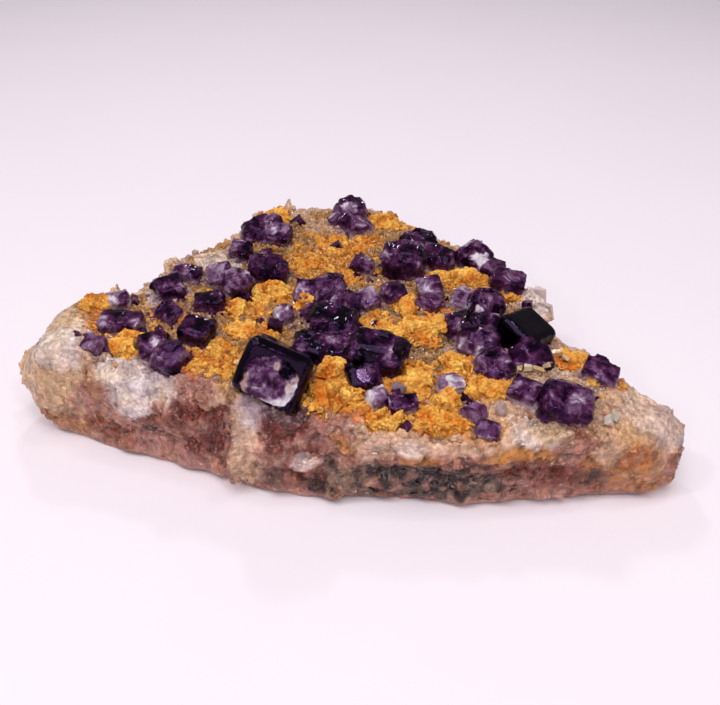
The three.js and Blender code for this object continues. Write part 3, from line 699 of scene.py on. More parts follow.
def cells_of(tree, place, size):
    """Angular cells of a size in millimetres: the number of each, and the way to its middle."""
    inputs = {"Vector": place, "Scale": 1 / (size * MM)}
    cells = add_node(tree, "ShaderNodeTexVoronoi", inputs)
    return cells.outputs["Color"], cells.outputs["Distance"]


def mapped(tree, value, before, after):
    """The value, stretched from one range to another and kept within it."""
    inputs = dict(enumerate((value, *before, *after)))
    return add_node(tree, "ShaderNodeMapRange", inputs).outputs[0]


def arithmetic(tree, operation, *values, **how):
    """The values, put together by arithmetic."""
    inputs = dict(enumerate(values))
    return add_node(tree, "ShaderNodeMath", inputs, operation=operation, **how).outputs[0]


def mixed(tree, share, first, second, **how):
    """The first colour, moved by a share towards the second."""
    inputs = {0: share, 6: first, 7: second}
    return add_node(tree, "ShaderNodeMix", inputs, data_type="RGBA", **how).outputs[2]


def coloured(tree, value, stops):
    """The colour that a value from 0 to 1 has between the stops."""
    node = add_node(tree, "ShaderNodeValToRGB", {"Fac": value})
    elements = node.color_ramp.elements
    while len(elements) < len(stops):
        elements.new(0.5)
    for element, (position, code) in zip(elements, stops):
        element.position = position
        element.color = shade(linear(code))
    return node.outputs[0]


def bumped(tree, height, strength, depth):
    """A bump of a depth in millimetres."""
    inputs = {"Strength": strength, "Distance": depth * MM, "Height": height}
    return add_node(tree, "ShaderNodeBump", inputs).outputs[0]


def finished(material, surface, **inside):
    """The material, with its skin and any inside joined to its output."""
    shader = add_node(material.node_tree, "ShaderNodeBsdfPrincipled", surface)
    inputs = {"Surface": shader.outputs[0], **inside}
    add_node(material.node_tree, "ShaderNodeOutputMaterial", inputs)
    return material


# %% [markdown]
# ## Quartz, broken and grown
#
# Quartz is clear, but a mass of grains scatters light inside, so it looks like wet sugar: a soft
# glow under a glossy skin. Random-walk subsurface gives the glow, over about a millimetre. The
# index of refraction is 1.544. The grains are cells of 0.7 mm, each a little lighter, darker and
# more or less glossy than the next. Real ones go down to 0.2 mm, which is one pixel here, so they
# are drawn this coarse to show. White threads of milky quartz run between them.

# %% The quartz material
QUARTZ_IOR = 1.544


def quartz(name, roughness, glow, depth, bump, milk, grain, clarity=0.0):
    """Glow has a depth in millimetres; milk is the threads' share, grain the cells' contrast."""
    material, tree, place = new_material(name)
    # The painted colour value holds the stone's colours together with the painted purple light near
    # the crystals.
    stain, hollow_shade = painted_value(tree, "stain", "Color"), painted_value(tree, "hollow")
    fine = noise(tree, place, 0.9, 4.0)
    number, distance = cells_of(tree, place, 0.7)
    sugar = mapped(tree, number, (0.1, 0.9), (1 - grain, 1 + grain))
    speckle = mapped(tree, fine, (0.3, 0.7), (0.8, 1.16))
    tone = arithmetic(tree, "MULTIPLY", sugar, speckle)
    toned = mixed(tree, 1.0, stain, tone, blend_type="MULTIPLY")
    # Painted shade: the value called hollow darkens the hollows towards dark brown.
    with_hollow_shade = mixed(tree, hollow_shade, toned, shade(linear("#5b3526")), blend_type="MULTIPLY")
    veins = noise(tree, place, 2.4, 3.0, Distortion=1.6)
    ridge = arithmetic(tree, "ABSOLUTE", arithmetic(tree, "SUBTRACT", veins, 0.5))
    line = mapped(tree, ridge, (0.0, 0.05), (milk, 0.0))
    gaps = mapped(tree, fine, (0.48, 0.62), (0.0, 1.0))
    thread = arithmetic(tree, "MULTIPLY", line, gaps)
    veined = mixed(tree, thread, with_hollow_shade, shade(STONE["white"]))
    relief = bumped(tree, arithmetic(tree, "SUBTRACT", fine, distance), bump, 0.35)
    surface = {
        "Base Color": veined,
        "Roughness": mapped(tree, number, (0.0, 1.0), (roughness * 0.5, roughness * 1.5)),
        "IOR": QUARTZ_IOR,
        "Specular IOR Level": 0.45,
        "Subsurface Weight": glow,
        "Subsurface Radius": (1.0, 0.86, 0.7),
        "Subsurface Scale": depth * MM,
        "Transmission Weight": clarity,
        "Normal": relief,
    }
    return finished(material, surface)


broken_quartz = quartz(
    "quartz_broken", roughness=0.16, glow=0.6, depth=0.7, bump=0.95, milk=0.28, grain=0.26
)

# %% [markdown]
# ## The dressed plate
#
# The colours, with the painted purple light round the crystals, are worked out at each corner of
# the skin and painted on it as one value. A second value paints shade into the hollows and darkens
# them, less so where the quartz is clean. The dressed plate stands for the solid one, which stays
# behind for its shape alone.

# %% Paint and build the plate
stone_stain, stone_rust, stone_clean = stone_colour(stone_points)
# Painted shade: darker in the hollows of the skin, less so where the quartz is clean.
stone_hollow_shade = ramp(hollowness(stone_points, stone_faces, 3), 0.0, 0.14)
stone_hollow_shade = stone_hollow_shade * (0.5 - 0.38 * stone_clean)
build(
    "quartz_plate", stone_points, stone_faces, broken_quartz, "quartz",
    stands_for=["quartz_matrix"], stain=stone_stain, hollow=stone_hollow_shade,
)
print("rusty share of the plate", stone_rust.mean().round(2))

# %% [markdown]
# ## A carpet of quartz points
#
# The top is druse: thousands of six-sided quartz points, half a millimetre to a millimetre and a
# half wide, that lean all ways and flash when a face meets the light. One point is modelled, and
# copies of it are planted over the plate, each turned, tilted, sized and tinted by a seeded
# generator. They are written straight into one mesh, so nothing is left as a particle.


# %% Plant copies of one small shape
def scattered(weights, count, rng):
    """Random places on the plate's skin, with the direction that it faces there."""
    corners = stone_points[stone_faces]
    cross = np.cross(corners[:, 1] - corners[:, 0], corners[:, 2] - corners[:, 0])
    area = np.linalg.norm(cross, axis=1)
    odds = area * weights
    pick = rng.choice(len(stone_faces), count, p=odds / odds.sum())
    u, v = np.sqrt(rng.random(count)), rng.random(count)
    shares = np.stack([1 - u, u * (1 - v), u * v], axis=1)[:, :, None]
    return (corners[pick] * shares).sum(axis=1), cross[pick] / area[pick, None]


def unit(vectors):
    """The same directions, each with a length of 1."""
    return vectors / np.maximum(np.linalg.norm(vectors, axis=1, keepdims=True), 1e-9)


def planted(shape, places, axes, sizes, rng):
    """Copies of a small shape at each place, along each axis, turned by chance."""
    points, faces = shape
    axes = unit(axes)
    helper = np.where(np.abs(axes[:, 2:]) < 0.9, (0.0, 0.0, 1.0), (1.0, 0.0, 0.0))
    across = unit(np.cross(helper, axes))
    along = np.cross(axes, across)
    turn = rng.uniform(0, 2 * math.pi, len(places))[:, None]
    u = across * np.cos(turn) + along * np.sin(turn)
    v = np.cross(axes, u)
    moved = (
        points[None, :, 0, None] * (u * sizes[:, :1])[:, None]
        + points[None, :, 1, None] * (v * sizes[:, 1:2])[:, None]
        + points[None, :, 2, None] * (axes * sizes[:, 2:])[:, None]
        + places[:, None]
    )
    starts = np.arange(len(places))[:, None, None] * len(points)
    return moved.reshape(-1, 3), (faces[None] + starts).reshape(-1, faces.shape[1])


def quartz_point():
    """A six-sided prism with a pointed end, one wide and one high, open below."""
    angles = np.arange(6) * math.pi / 3
    ring = np.stack([np.cos(angles) / 2, np.sin(angles) / 2], axis=1)
    low = np.c_[ring, np.full(6, -0.5)]
    high = np.c_[ring, np.full(6, 0.12)]
    points = np.concatenate([low, high, [(0.06, 0.04, 0.5)]])
    faces = []
    for k in range(6):
        n = (k + 1) % 6
        faces += [(k, n, n + 6), (k, n + 6, k + 6), (k + 6, n + 6, 12)]
    return points, np.array(faces)


def each(values, shape):
    """A value of each copy, repeated for all its corners."""
    return np.repeat(values, len(shape[0]), axis=0)


rng = np.random.default_rng(7)
face_middles = stone_points[stone_faces].mean(axis=1)
face_up = outward(stone_points, stone_faces)[stone_faces[:, 0]][:, 2]
bare_top = ramp(face_up, 0.25, 0.6) * ramp(face_middles[:, 2], 9.0, 12.0)
skirt = spread(covered, 2) & ~covered
around = np.where(skirt[cell_of(face_middles)], 2.6, 1.0)  # more points round each crystal
bare_top = bare_top * np.where(is_covered(face_middles), 0.02, around)
frosted_end = 1 - 0.8 * ramp(face_middles[:, 0], 35.0, 40.0)
frosted_end = frosted_end - 0.9 * ramp(face_middles[:, 0], -34.0, -39.0)
frosted_end = np.clip(frosted_end, 0, 1) * (0.25 + 0.75 * ramp(inward(face_middles), 2.0, 4.5))
frosted_end = frosted_end * (1 - 0.7 * stone_clean[stone_faces[:, 0]])

POINTS = 8000
places, facing = scattered(bare_top * frosted_end, POINTS, rng)
width = np.clip(rng.lognormal(-0.6, 0.32, POINTS), 0.3, 1.3)
tall = width * rng.uniform(0.8, 1.4, POINTS)
axes = unit(facing + (0, 0, 0.8)) + rng.normal(0, 0.34, (POINTS, 3))
tint, _, _ = stone_colour(places)
clear = rng.random(POINTS)
tint = tint * rng.uniform(0.86, 1.16, (POINTS, 1))
tint = np.where((clear > 0.93)[:, None], tint * 0.5 + 0.4 * STONE["white"], tint)
shape = quartz_point()
druse = planted(shape, places, axes, np.stack([width, width, tall], axis=1), rng)
drusy_quartz = quartz(
    "quartz_druse", roughness=0.15, glow=0.6, depth=0.5, bump=0.1, milk=0.1, grain=0.05, clarity=0.1
)
build(
    "quartz_druse_top", *druse, drusy_quartz, "quartz", smooth=False,
    stain=each(np.clip(tint, 0, 1), shape), hollow=each(np.zeros(POINTS), shape),
)
print("druse:", len(druse[1]), "triangles")

# %% [markdown]
# ## Broken grains on the sides
#
# The sides were broken, not grown. There the grains are chips with no crystal shape, each a little
# lighter or darker than the skin round it, and a few of them pale. A chip is a cube with its
# corners pushed about, buried more than half in the skin. It is planted as the points were.

# %% Chips on the broken sides
def chip():
    """A cube with its corners pushed about, and its faces as triangles."""
    points = np.array(list(itertools.product((-0.5, 0.5), repeat=3)))
    points = points + np.random.default_rng(3).uniform(-0.2, 0.2, points.shape)
    quads = [(0, 1, 3, 2), (4, 6, 7, 5), (0, 4, 5, 1), (2, 3, 7, 6), (0, 2, 6, 4), (1, 5, 7, 3)]
    return points, np.array([t for a, b, c, d in quads for t in ((a, b, c), (a, c, d))])


CHIPS = 2600
side = (1 - ramp(face_up, 0.4, 0.8)) * ramp(face_middles[:, 2], 0.9, 1.6)
places, facing = scattered(side, CHIPS, rng)
size = np.clip(rng.lognormal(-0.9, 0.4, CHIPS), 0.2, 1.0)
axes = facing + rng.normal(0, 0.5, (CHIPS, 3))
sizes = size[:, None] * rng.uniform(0.6, 1.2, (CHIPS, 3))
tint, _, _ = stone_colour(places)
kind = rng.random(CHIPS)[:, None]
toned = tint * rng.uniform(0.85, 1.15, (CHIPS, 1))
tint = np.where(kind > 0.97, 0.5 * tint + 0.4 * STONE["white"], toned)
shape = chip()
chips = planted(shape, places - 0.3 * size[:, None] * facing, axes, sizes, rng)
build(
    "quartz_chips", *chips, drusy_quartz, "quartz", smooth=False,
    stain=each(np.clip(tint, 0, 1), shape), hollow=each(np.zeros(CHIPS), shape),
)
print("chips:", len(chips[1]), "triangles")

# %% [markdown]
# ## Fluorite
#
# Fluorite cubes are glass-clear purple, and so deep in colour that a crystal of a few millimetres
# looks black except where a chip, a thin edge or a cloudy patch sends light back. Plain
# transmission with an index of 1.434 and an absorbing inside does this as the mineral does: the
# longer the way through, the darker. Clouds inside are drawn as a paler, less clear base, bent by
# wisps of noise. Inner cracks are angular cells of 1.5 mm, each a little lighter or darker. The
# glint is tinted purple, because most of it comes back from inside the stone.

# %% The fluorite material
FLUORITE_IOR = 1.434
PURPLES = (
    (0.0, "#12061a"), (0.18, "#3a1040"), (0.45, "#713669"), (0.75, "#ac8cab"), (1.0, "#f2e8ee"),
)
DARKNESS = 450.0  # how fast the inside absorbs, per metre of the way through


def fluorite(name, roughness, bump):
    """Clear purple where the painted value is 0, milky lilac where it is 1; its palest spots are
    painted highlights.
    """
    material, tree, place = new_material(name)
    cloud = painted_value(tree, "cloud")
    wisps = noise(tree, place, 2.2, 5.0, Roughness=0.6, Distortion=0.8)
    raised = mapped(tree, wisps, (0.42, 0.68), (-0.13, 0.28))
    splinter = mapped(tree, cells_of(tree, place, 1.5)[0], (0.2, 0.8), (-0.1, 0.1))
    bent = arithmetic(tree, "ADD", raised, splinter)
    misty = arithmetic(tree, "ADD", cloud, bent, use_clamp=True)
    colour = coloured(tree, misty, PURPLES)
    tinted = mixed(tree, painted_value(tree, "cream"), colour, shade(linear("#c79f8c")))
    surface = {
        "Base Color": tinted,
        "Roughness": mapped(tree, misty, (0.3, 1.0), (roughness, 0.42)),
        "IOR": FLUORITE_IOR,
        "Specular Tint": (0.34, 0.2, 0.48, 1.0),
        "Transmission Weight": mapped(tree, misty, (0.0, 0.9), (0.94, 0.25)),
        "Normal": bumped(tree, wisps, bump, 0.25),
    }
    absorbing = {"Color": (0.6, 0.12, 0.5, 1.0), "Density": DARKNESS}
    inside = add_node(tree, "ShaderNodeVolumeAbsorption", absorbing)
    return finished(material, surface, Volume=inside.outputs[0])


purple_fluorite = fluorite("fluorite_purple", 0.06, 0.12)
kept_blue = np.exp(-DARKNESS * 3 * MM * (1 - 0.5))
print("a way of 3 mm through purple keeps", kept_blue.round(2), "of blue")

# %% [markdown]
# ## Growth steps and chips
#
# A fluorite face is never one clean plane. It grew in square terraces a fraction of a millimetre
# high, side by side with the cube's own edges, and knocks have chipped it. So each flat face of a
# solid gets two thin square steps along its longest edge and up to two small cubes, and the whole
# is wrapped in one skin. Noise then knocks back the edges and leaves a faint waviness.


# %% Find the flat faces of a crystal and add steps
def flat_faces(points, triangles):
    """Each flat face: its middle, its outward direction, its longest edge and its clear radius."""
    corners = points[triangles]
    cross = np.cross(corners[:, 1] - corners[:, 0], corners[:, 2] - corners[:, 0])
    area = np.linalg.norm(cross, axis=1)
    keep = area > 1e-4
    corners, cross, area = corners[keep], cross[keep], area[keep]
    facing = cross / area[:, None]
    offset = (facing * corners[:, 0]).sum(axis=1)
    left = np.ones(len(area), bool)
    found = []
    for k in np.argsort(-area):
        if not left[k]:
            continue
        same = left & (facing @ facing[k] > 0.998) & (np.abs(offset - offset[k]) < 0.08)
        left &= ~same
        total = area[same].sum() / 2
        if total < 2.5:
            continue
        middle = (corners[same].mean(axis=1) * area[same, None]).sum(axis=0) / area[same].sum()
        ends = np.concatenate([corners[same][:, [a, (a + 1) % 3]] for a in range(3)])
        codes = [tuple(np.round(np.sort(e, axis=0).ravel(), 2)) for e in ends]
        once = np.array([codes.count(code) == 1 for code in codes])
        border = ends[once] if once.any() else ends
        lengths = np.linalg.norm(border[:, 1] - border[:, 0], axis=1)
        edge = border[lengths.argmax()]
        along = unit((edge[1] - edge[0])[None])[0]
        across = np.cross(facing[k], along)
        middles = border.mean(axis=1) - middle
        radius = np.median(np.linalg.norm(middles, axis=1)) * 0.9
        found.append((middle, facing[k], along, across, radius))
    return found


def steps_on(points, triangles, rng):
    """Thin terraces and small cubes on the flat faces that don't look down."""
    boxes = []
    corners, quads = chip()
    cube = np.sign(corners)
    for middle, facing, along, across, radius in flat_faces(points, triangles):
        if facing[2] < -0.2:
            continue
        terraces = [
            (radius * rng.uniform(0.3, 0.8, 2), 0.4, rng.uniform(0.05, 0.25)) for _ in range(2)
        ]
        cubelets = [
            (rng.uniform(0.4, 1.1, 2), 0.9, rng.uniform(0.15, 0.5))
            for _ in range(rng.integers(0, 3))
        ]
        for half, reach, lift in terraces + cubelets:
            shift = radius * rng.uniform(-reach, reach, 2)
            centre = middle + along * shift[0] + across * shift[1]
            box = (
                centre
                + cube[:, :1] * along * half[0]
                + cube[:, 1:2] * across * half[1]
                + cube[:, 2:] * facing * lift
            )
            boxes.append((box, quads))
    return boxes


# %% [markdown]
# ## How cloudy each crystal is
#
# Some crystals are clear and black, others milky lilac. CLOUD gives each one's cloud from 0 to 1,
# and the noise in the material breaks it into wisps. FRACTURED gives in millimetres how far the
# facets of a broken crystal stand out; their edges are paler too. The pale spots are pale places on
# the crystals: the whitest are painted highlights, facets that catch the light, and the fainter
# ones are partly lit facets painted paler and partly chips or bruises that show white. A row gives
# x, y, z and radius in millimetres, and how much cloud is added.

# %% The tables of the crystals
BIG, BLACK = "fluorite_front_cube", "fluorite_right_black_cube"
CLOUD = {
    "left_tip": 0.62, "left_long": 0.35, "left_low": 0.48, "left_pair": 0.36, "left_block": 0.24,
    "left_dark": 0.28, "left_rim": 0.42, "left_sliver": 0.3, "left_back_cluster": 0.44,
    "left_back_dark": 0.2, "left_back_small": 0.38, "left_ridge": 0.2, "back_left_cube": 0.32,
    "back_top_cluster": 0.46, "centre_pink": 0.6, "back_purple": 0.42, "centre_cluster": 0.34,
    "centre_right": 0.5, "centre_dark": 0.3, "back_right_cluster": 0.29, "back_right_cube": 0.24,
    "right_inner": 0.5, "right_blush": 0.6, "right_rim_cube": 0.36, "right_rim_low": 0.42,
    "right_cluster": 0.26, "right_black_cube": 0.0, "right_small": 0.3, "right_front_cube": 0.37,
    "right_shoulder": 0.32, "front_cluster": 0.2, "front_cube": 0.0, "front_rose": 0.72,
    "front_right_a": 0.5, "front_right_b": 0.52, "front_dark": 0.36, "front_grey": 0.6,
}
FRACTURED = {
    "front_cluster": 0.13, "right_cluster": 0.2, "right_small": 0.15, "centre_cluster": 0.13,
    "centre_dark": 0.1, "back_right_cluster": 0.08, "left_back_cluster": 0.1, "front_grey": 0.12,
}
PALE_SPOTS_AND_HIGHLIGHTS = [
    # The three rows with 0.9 are the whitest: painted highlights where a facet catches the light.
    (25.5, 9.4, 16.6, 1.6, 0.9), (24.2, 6.3, 16.7, 1.1, 0.9), (23.5, -7.8, 16.5, 0.8, 0.9),
    (25.2, -16.4, 16.4, 1.5, 0.5), (34.2, -30.8, 15.7, 1.4, 0.35), (35.5, -29.6, 16.0, 1.0, 0.4),
    (-26.7, -19.4, 18.4, 1.0, 0.8), (2.4, 28.0, 17.9, 1.8, 0.5), (-12.4, 16.3, 18.8, 1.3, 0.6),
    (-2.7, -16.5, 19.3, 1.5, 0.5), (-4.6, -20.7, 18.2, 0.9, 0.6), (5.2, -25.5, 16.8, 1.4, 0.55),
    (9.3, -21.7, 18.4, 0.9, 0.5), (-19.5, -2.0, 19.1, 1.5, 0.5), (-13.6, 1.4, 16.9, 1.2, 0.6),
    (-6.0, -2.9, 17.7, 1.3, 0.65), (-0.8, -7.9, 18.5, 1.3, 0.4), (27.3, -19.0, 15.1, 1.8, 0.35),
    (32.3, -19.1, 15.2, 1.4, 0.3), (-0.5, -19.0, 18.3, 0.8, 0.5), (1.8, -17.5, 18.7, 0.8, 0.4),
    (18.5, 7.8, 15.5, 1.4, 0.3), (41.3, -22.6, 15.0, 0.9, 0.3), (20.0, -0.1, 14.4, 1.2, 0.5),
    (19.9, -17.2, 16.1, 1.1, 0.5), (22.2, -18.1, 15.4, 1.2, 0.45),
]

# %% [markdown]
# ## Wear, and the window of the big cube
#
# The big cube at the front has a broken window in its front face, through which its pale, jagged
# inside shows. In the window's own frame, u runs to the right, v upwards and depth outwards, and
# the window is an ellipse with a ragged edge. Inside it the skin sinks a little and is rubble.


# %% Dress the crystals
def window(points, cloud):
    """The broken window in the front face of the big cube."""
    towards = unit(np.array([[0.0, -0.75, 0.55]]))[0]
    faces = flat_faces(*read_solid(BIG))
    middle, out, _, _, _ = max(faces, key=lambda face: face[4] * max(face[1] @ towards, 0))
    right = unit(np.cross((0.0, 0.0, 1.0), out)[None])[0]
    upward = np.cross(out, right)
    depth, u, v = ((points - middle) @ axis for axis in (out, right, upward))
    ragged = 0.16 * soft_noise(points, 1.6, 71) + 0.09 * soft_noise(points, 0.6, 77)
    reach = np.hypot((u + 0.5) / 4.0, (v + 0.7) / 3.2) + ragged
    inside = ramp(reach, 1.03, 0.92) * ramp(depth, -1.2, -0.6)
    rubble = 0.4 * soft_noise(points, 1.1, 72) + 0.3 * soft_noise(points, 0.45, 73)
    points = points - out * (inside * (0.55 + rubble))[:, None]
    milk = 0.56 + 0.26 * soft_noise(points, 2.0, 74) + 0.22 * soft_noise(points, 0.55, 75)
    hole = ramp(np.hypot(u - 2.2, v - 0.6) / 1.3 + ragged, 1.1, 0.8)
    lip = ramp(reach, 0.72, 0.95) * ramp(-v, 0.0, 1.8)
    cream = ramp(reach, 0.6, 0.9) * ramp(np.abs(v + 0.6), 1.8, 0.8)
    cream = cream * ramp(soft_noise(points, 1.0, 76), -0.4, 0.2)
    cream = np.maximum(cream, ramp(np.hypot(u - 0.9, v - 1.1) / 0.55, 1.2, 0.8)) * inside
    cloud = np.maximum(cloud, inside * (milk + 0.5 * lip - 0.6 * hole + 0.4 * cream))
    return points, cloud, cream * (1 - hole)


def worn(points, faces, seed, depth):
    """The edges knocked back by chance, the faces left a little wavy."""
    facing = outward(points, faces)
    ridge = ramp(-hollowness(points, faces, passes=5), 0.02, 0.16)
    knocks = ramp(two_sizes(points, 1.5, 0.6, 0.6, seed), -0.3, 0.7)
    wave = 0.04 * soft_noise(points, 2.6, seed + 2) + 0.01 * soft_noise(points, 0.7, seed + 3)
    return points + facing * (wave - depth * ridge * knocks)[:, None], facing, ridge


def dressed_crystal(name, seed):
    """Steps, skin, wear, cloudiness and painted highlights of one crystal; returns its number of
    triangles.
    """
    rng = np.random.default_rng(seed)
    solid = read_solid(name)
    big, plain = name == BIG, name in (BIG, BLACK)
    steps = [] if plain else steps_on(*solid, rng)
    points, faces = wrapped(*pile(solid, *steps), 0.2 if big else 0.25)
    points, facing, ridge = worn(points, faces, seed, 0.5 if big else 0.22)
    short = name.removeprefix("fluorite_")
    _, number, facet = grain_noise(points, 3.0, seed)
    broken = 0.0 if plain else FRACTURED.get(short, 0.05)
    points = points + facing * (broken * (facet - 0.4 * number))[:, None]
    frost = ramp(two_sizes(points, 1.4, 0.6, 0.5, seed + 6), 0.15, 0.6)
    cloud = CLOUD[short] + 0.16 * soft_noise(points, 2.6, seed + 4) + 0.3 * (number - 0.5)
    cloud = cloud + (0.2 * ridge + broken * (0.3 + 1.4 * ridge)) * frost
    foot = ramp(points[:, 2] - ground(points), 1.6, 0.2)
    cloud = cloud + 0.3 * foot
    edge = 0.3 * soft_noise(points, 0.8, seed + 8)
    # Painted highlights and pale spots: the whitest are added in full, the fainter ones at 0.6 of
    # their amount.
    for x, y, z, radius, amount in PALE_SPOTS_AND_HIGHLIGHTS:
        distance = np.linalg.norm(points - (x, y, z), axis=1) / radius
        amount = amount if amount > 0.85 else 0.6 * amount  # only the whitest in full
        cloud = cloud + amount * ramp(distance + 2 * edge, 1.3, 0.5)
    cloud = np.clip(cloud, 0, 1)
    if name == BLACK:
        cloud = np.where(points[:, 1] < -16.6, 0.3, -0.25)  # only its front face is a little milky
    cream = np.zeros(len(points))
    if big:
        points, cloud, cream = window(points, np.full(len(points), -0.25))
        points[:, 2] += 0.8 * ramp(points[:, 2], 15.5, 20.0)  # its top reaches a little higher
    build(
        name.replace("fluorite_", "crystal_"), points, faces, purple_fluorite, "fluorite", [name],
        crease=28, cloud=cloud, cream=cream,
    )
    return 2 * len(faces)


total = sum(dressed_crystal(name, 100 + 10 * k) for k, name in enumerate(crystals))
print("crystals:", total, "triangles")

# %% [markdown]
# ## Crumbs of fluorite
#
# Between the large crystals lie specks of the same purple, most of them under a millimetre and a
# half wide. They are cubes, mostly sunk in the druse, and thickest where large crystals are near.
# The few that stand out in the picture are set by the table: x, y and width in millimetres.

# %% Plant the purple crumbs
CRUMBS = 200
SPECKS = [
    (-13.0, 10.9, 1.9), (-15.7, -4.3, 2.0), (-9.4, -12.3, 2.2), (10.4, -33.4, 1.4),
    (-8.2, 24.4, 2.4), (32.5, -3.0, 1.9), (-0.3, 15.2, 1.9),
]
crystal_middles = np.array([np.sum(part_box(name), axis=0) / 2 / MM for name in crystals])
apart = face_middles[:, None, :2] - crystal_middles[None, :, :2]
gap = np.linalg.norm(apart, axis=2).min(axis=1)
high_up = ramp(face_middles[:, 2], 12.5, 14.5) * ramp(inward(face_middles), 2.0, 4.0)
high_up = high_up * (1 - 0.9 * stone_clean[stone_faces[:, 0]])
near_crystals = bare_top * high_up * ramp(gap, 6.0, 2.5)
places, facing = scattered(near_crystals, CRUMBS, rng)
size = np.clip(rng.lognormal(-0.25, 0.3, CRUMBS), 0.4, 1.4)
named = len(SPECKS)
places[:named, :2] = [speck[:2] for speck in SPECKS]
places[:named, 2] = ground(places[:named]) + 0.5
size[:named] = [speck[2] for speck in SPECKS]
places = places - 0.15 * size[:, None] * facing
corners, quads = chip()
shape = (np.sign(corners) * 0.5, quads)
sizes = size[:, None] * rng.uniform(0.8, 1.1, (CRUMBS, 3))
crumbs = planted(shape, places, facing + rng.normal(0, 0.4, (CRUMBS, 3)), sizes, rng)
build(
    "fluorite_crumbs", *crumbs, purple_fluorite, "fluorite", smooth=False,
    cloud=each(rng.uniform(0.2, 0.6, CRUMBS), shape),
)
print("crumbs:", len(crumbs[1]), "triangles")

# %% [markdown]
# ## Limonite
#
# Limonite is rust: earthy, soft and quite matt, orange-yellow where it is powdery, and darkened
# to brown in its pits as painted shade. Its bump is a crumb of half a millimetre.

# %% The limonite material
def limonite(name):
    """Orange to yellow in patches, and brown, a painted shade, where the value called hollow is 1.
    """
    material, tree, place = new_material(name)
    pit_shade = painted_value(tree, "hollow")
    patch, crumb = noise(tree, place, 2.6, 4.0), noise(tree, place, 0.45, 3.0)
    colour = coloured(tree, patch, ((0.32, "#d97722"), (0.68, "#ffca63")))
    powdery = mapped(tree, crumb, (0.35, 0.65), (0.7, 1.25))
    toned = mixed(tree, 1.0, colour, powdery, blend_type="MULTIPLY")
    surface = {
        "Base Color": mixed(tree, pit_shade, toned, shade(linear("#95480f"))),
        "Roughness": 0.92,
        "IOR": 1.5,
        "Specular IOR Level": 0.2,
        "Normal": bumped(tree, crumb, 0.9, 0.45),
    }
    return finished(material, surface)


rust_crust = limonite("limonite_earthy")

# %% [markdown]
# ## The spongy crusts
#
# Limonite grows as a sponge of tiny balls. So a fringe of balls under half a millimetre is strewn
# on each solid crust and round its edge, and both are wrapped in one skin. Noise then pushes the
# skin sideways, so that the outline is ragged, covers it in grains, and presses it flat towards
# the plate where the sponge has its holes.


# %% Strew the fringe and wrap the crusts
def ball(detail):
    """A ball of radius 1 as triangles."""
    made = bmesh.new()
    bmesh.ops.create_icosphere(made, subdivisions=detail, radius=1)
    points = np.array([vertex.co for vertex in made.verts])
    faces = np.array([[vertex.index for vertex in face.verts] for face in made.faces])
    made.free()
    return points, faces


round_ball = ball(2)


def warped(points, amount, size, seed):
    """Points pushed sideways by noise, which makes a smooth outline ragged."""
    push = [two_sizes(points, size, size * 0.4, 0.5, seed + k) for k in (31, 33)]
    return points + amount * np.stack([*push, np.zeros(len(points))], axis=1)


def dressed_crust(name, seed):
    """Fringe, skin, grains and holes of one crust; returns its number of triangles."""
    rng = np.random.default_rng(seed)
    points, triangles = read_solid(name)
    low, high = points.min(axis=0), points.max(axis=0)
    middle, spread_out = (low + high) / 2, (high - low) / 2
    count = int(np.prod(high[:2] - low[:2]) * 6)
    angle, share = rng.uniform(0, 2 * math.pi, count), rng.uniform(0.55, 1.4, count)
    out = np.c_[np.cos(angle), np.sin(angle)] * share[:, None] * spread_out[:2] + middle[:2]
    lobes = soft_noise(np.c_[out, np.zeros(count)], 2.4, seed + 5)
    out = out[(lobes > -0.25 + 0.6 * (share - 0.8)) & (inward(out) > 1.2)]
    out = np.c_[out, ground(out) + rng.uniform(-0.1, 0.5, len(out))]
    sizes = rng.uniform(0.2, 0.45, (len(out), 1)) * rng.uniform(0.7, 1.2, (len(out), 3))
    fringe = planted(round_ball, out, rng.normal(0, 1, out.shape), sizes, rng)
    skin, faces = wrapped(*pile((points, triangles), fringe), 0.19)
    skin = warped(skin, 0.6, 2.0, seed)
    pull = 0.4 * ramp(inward(skin), 3.0, 0.5)[:, None]
    skin[:, :2] += pull * (middle[:2] - skin[:, :2])
    facing = outward(skin, faces)
    crumbs, _, _ = grain_noise(skin, 0.5, seed)
    sponge = soft_noise(skin * (1, 1, 0.4), 1.7, seed + 7) + 0.5 * soft_noise(skin, 0.6, seed + 6)
    holes = ramp(sponge, 0.15, 0.55)
    grit = 0.36 * (0.5 - crumbs) + 0.08 * soft_noise(skin, 1.4, seed + 9)
    skin = skin + facing * grit[:, None]
    above = np.maximum(skin[:, 2] - ground(skin), 0.0)
    skin[:, 2] -= above * (0.15 + 0.75 * holes)
    # Painted shade: the hollows of the skin and the sponge's holes get a higher value, which
    # darkens them to brown.
    hollow = np.clip(0.4 * ramp(hollowness(skin, faces), -0.01, 0.06) + 0.4 * holes, 0, 1)
    build(
        name.replace("crust_", "limonite_"), skin, faces, rust_crust, "limonite", [name],
        hollow=hollow,
    )
    return 2 * len(faces)


total = sum(dressed_crust(name, 600 + 10 * k) for k, name in enumerate(crusts))
print("crusts:", total, "triangles")

# %% [markdown]
# ## A dusting of rust
#
# Round the crusts the druse wears a thin coat of the same rust. It is too thin to be a solid: it
# is colour in the stone, plus granules of a quarter to half a millimetre where the coat is thick.

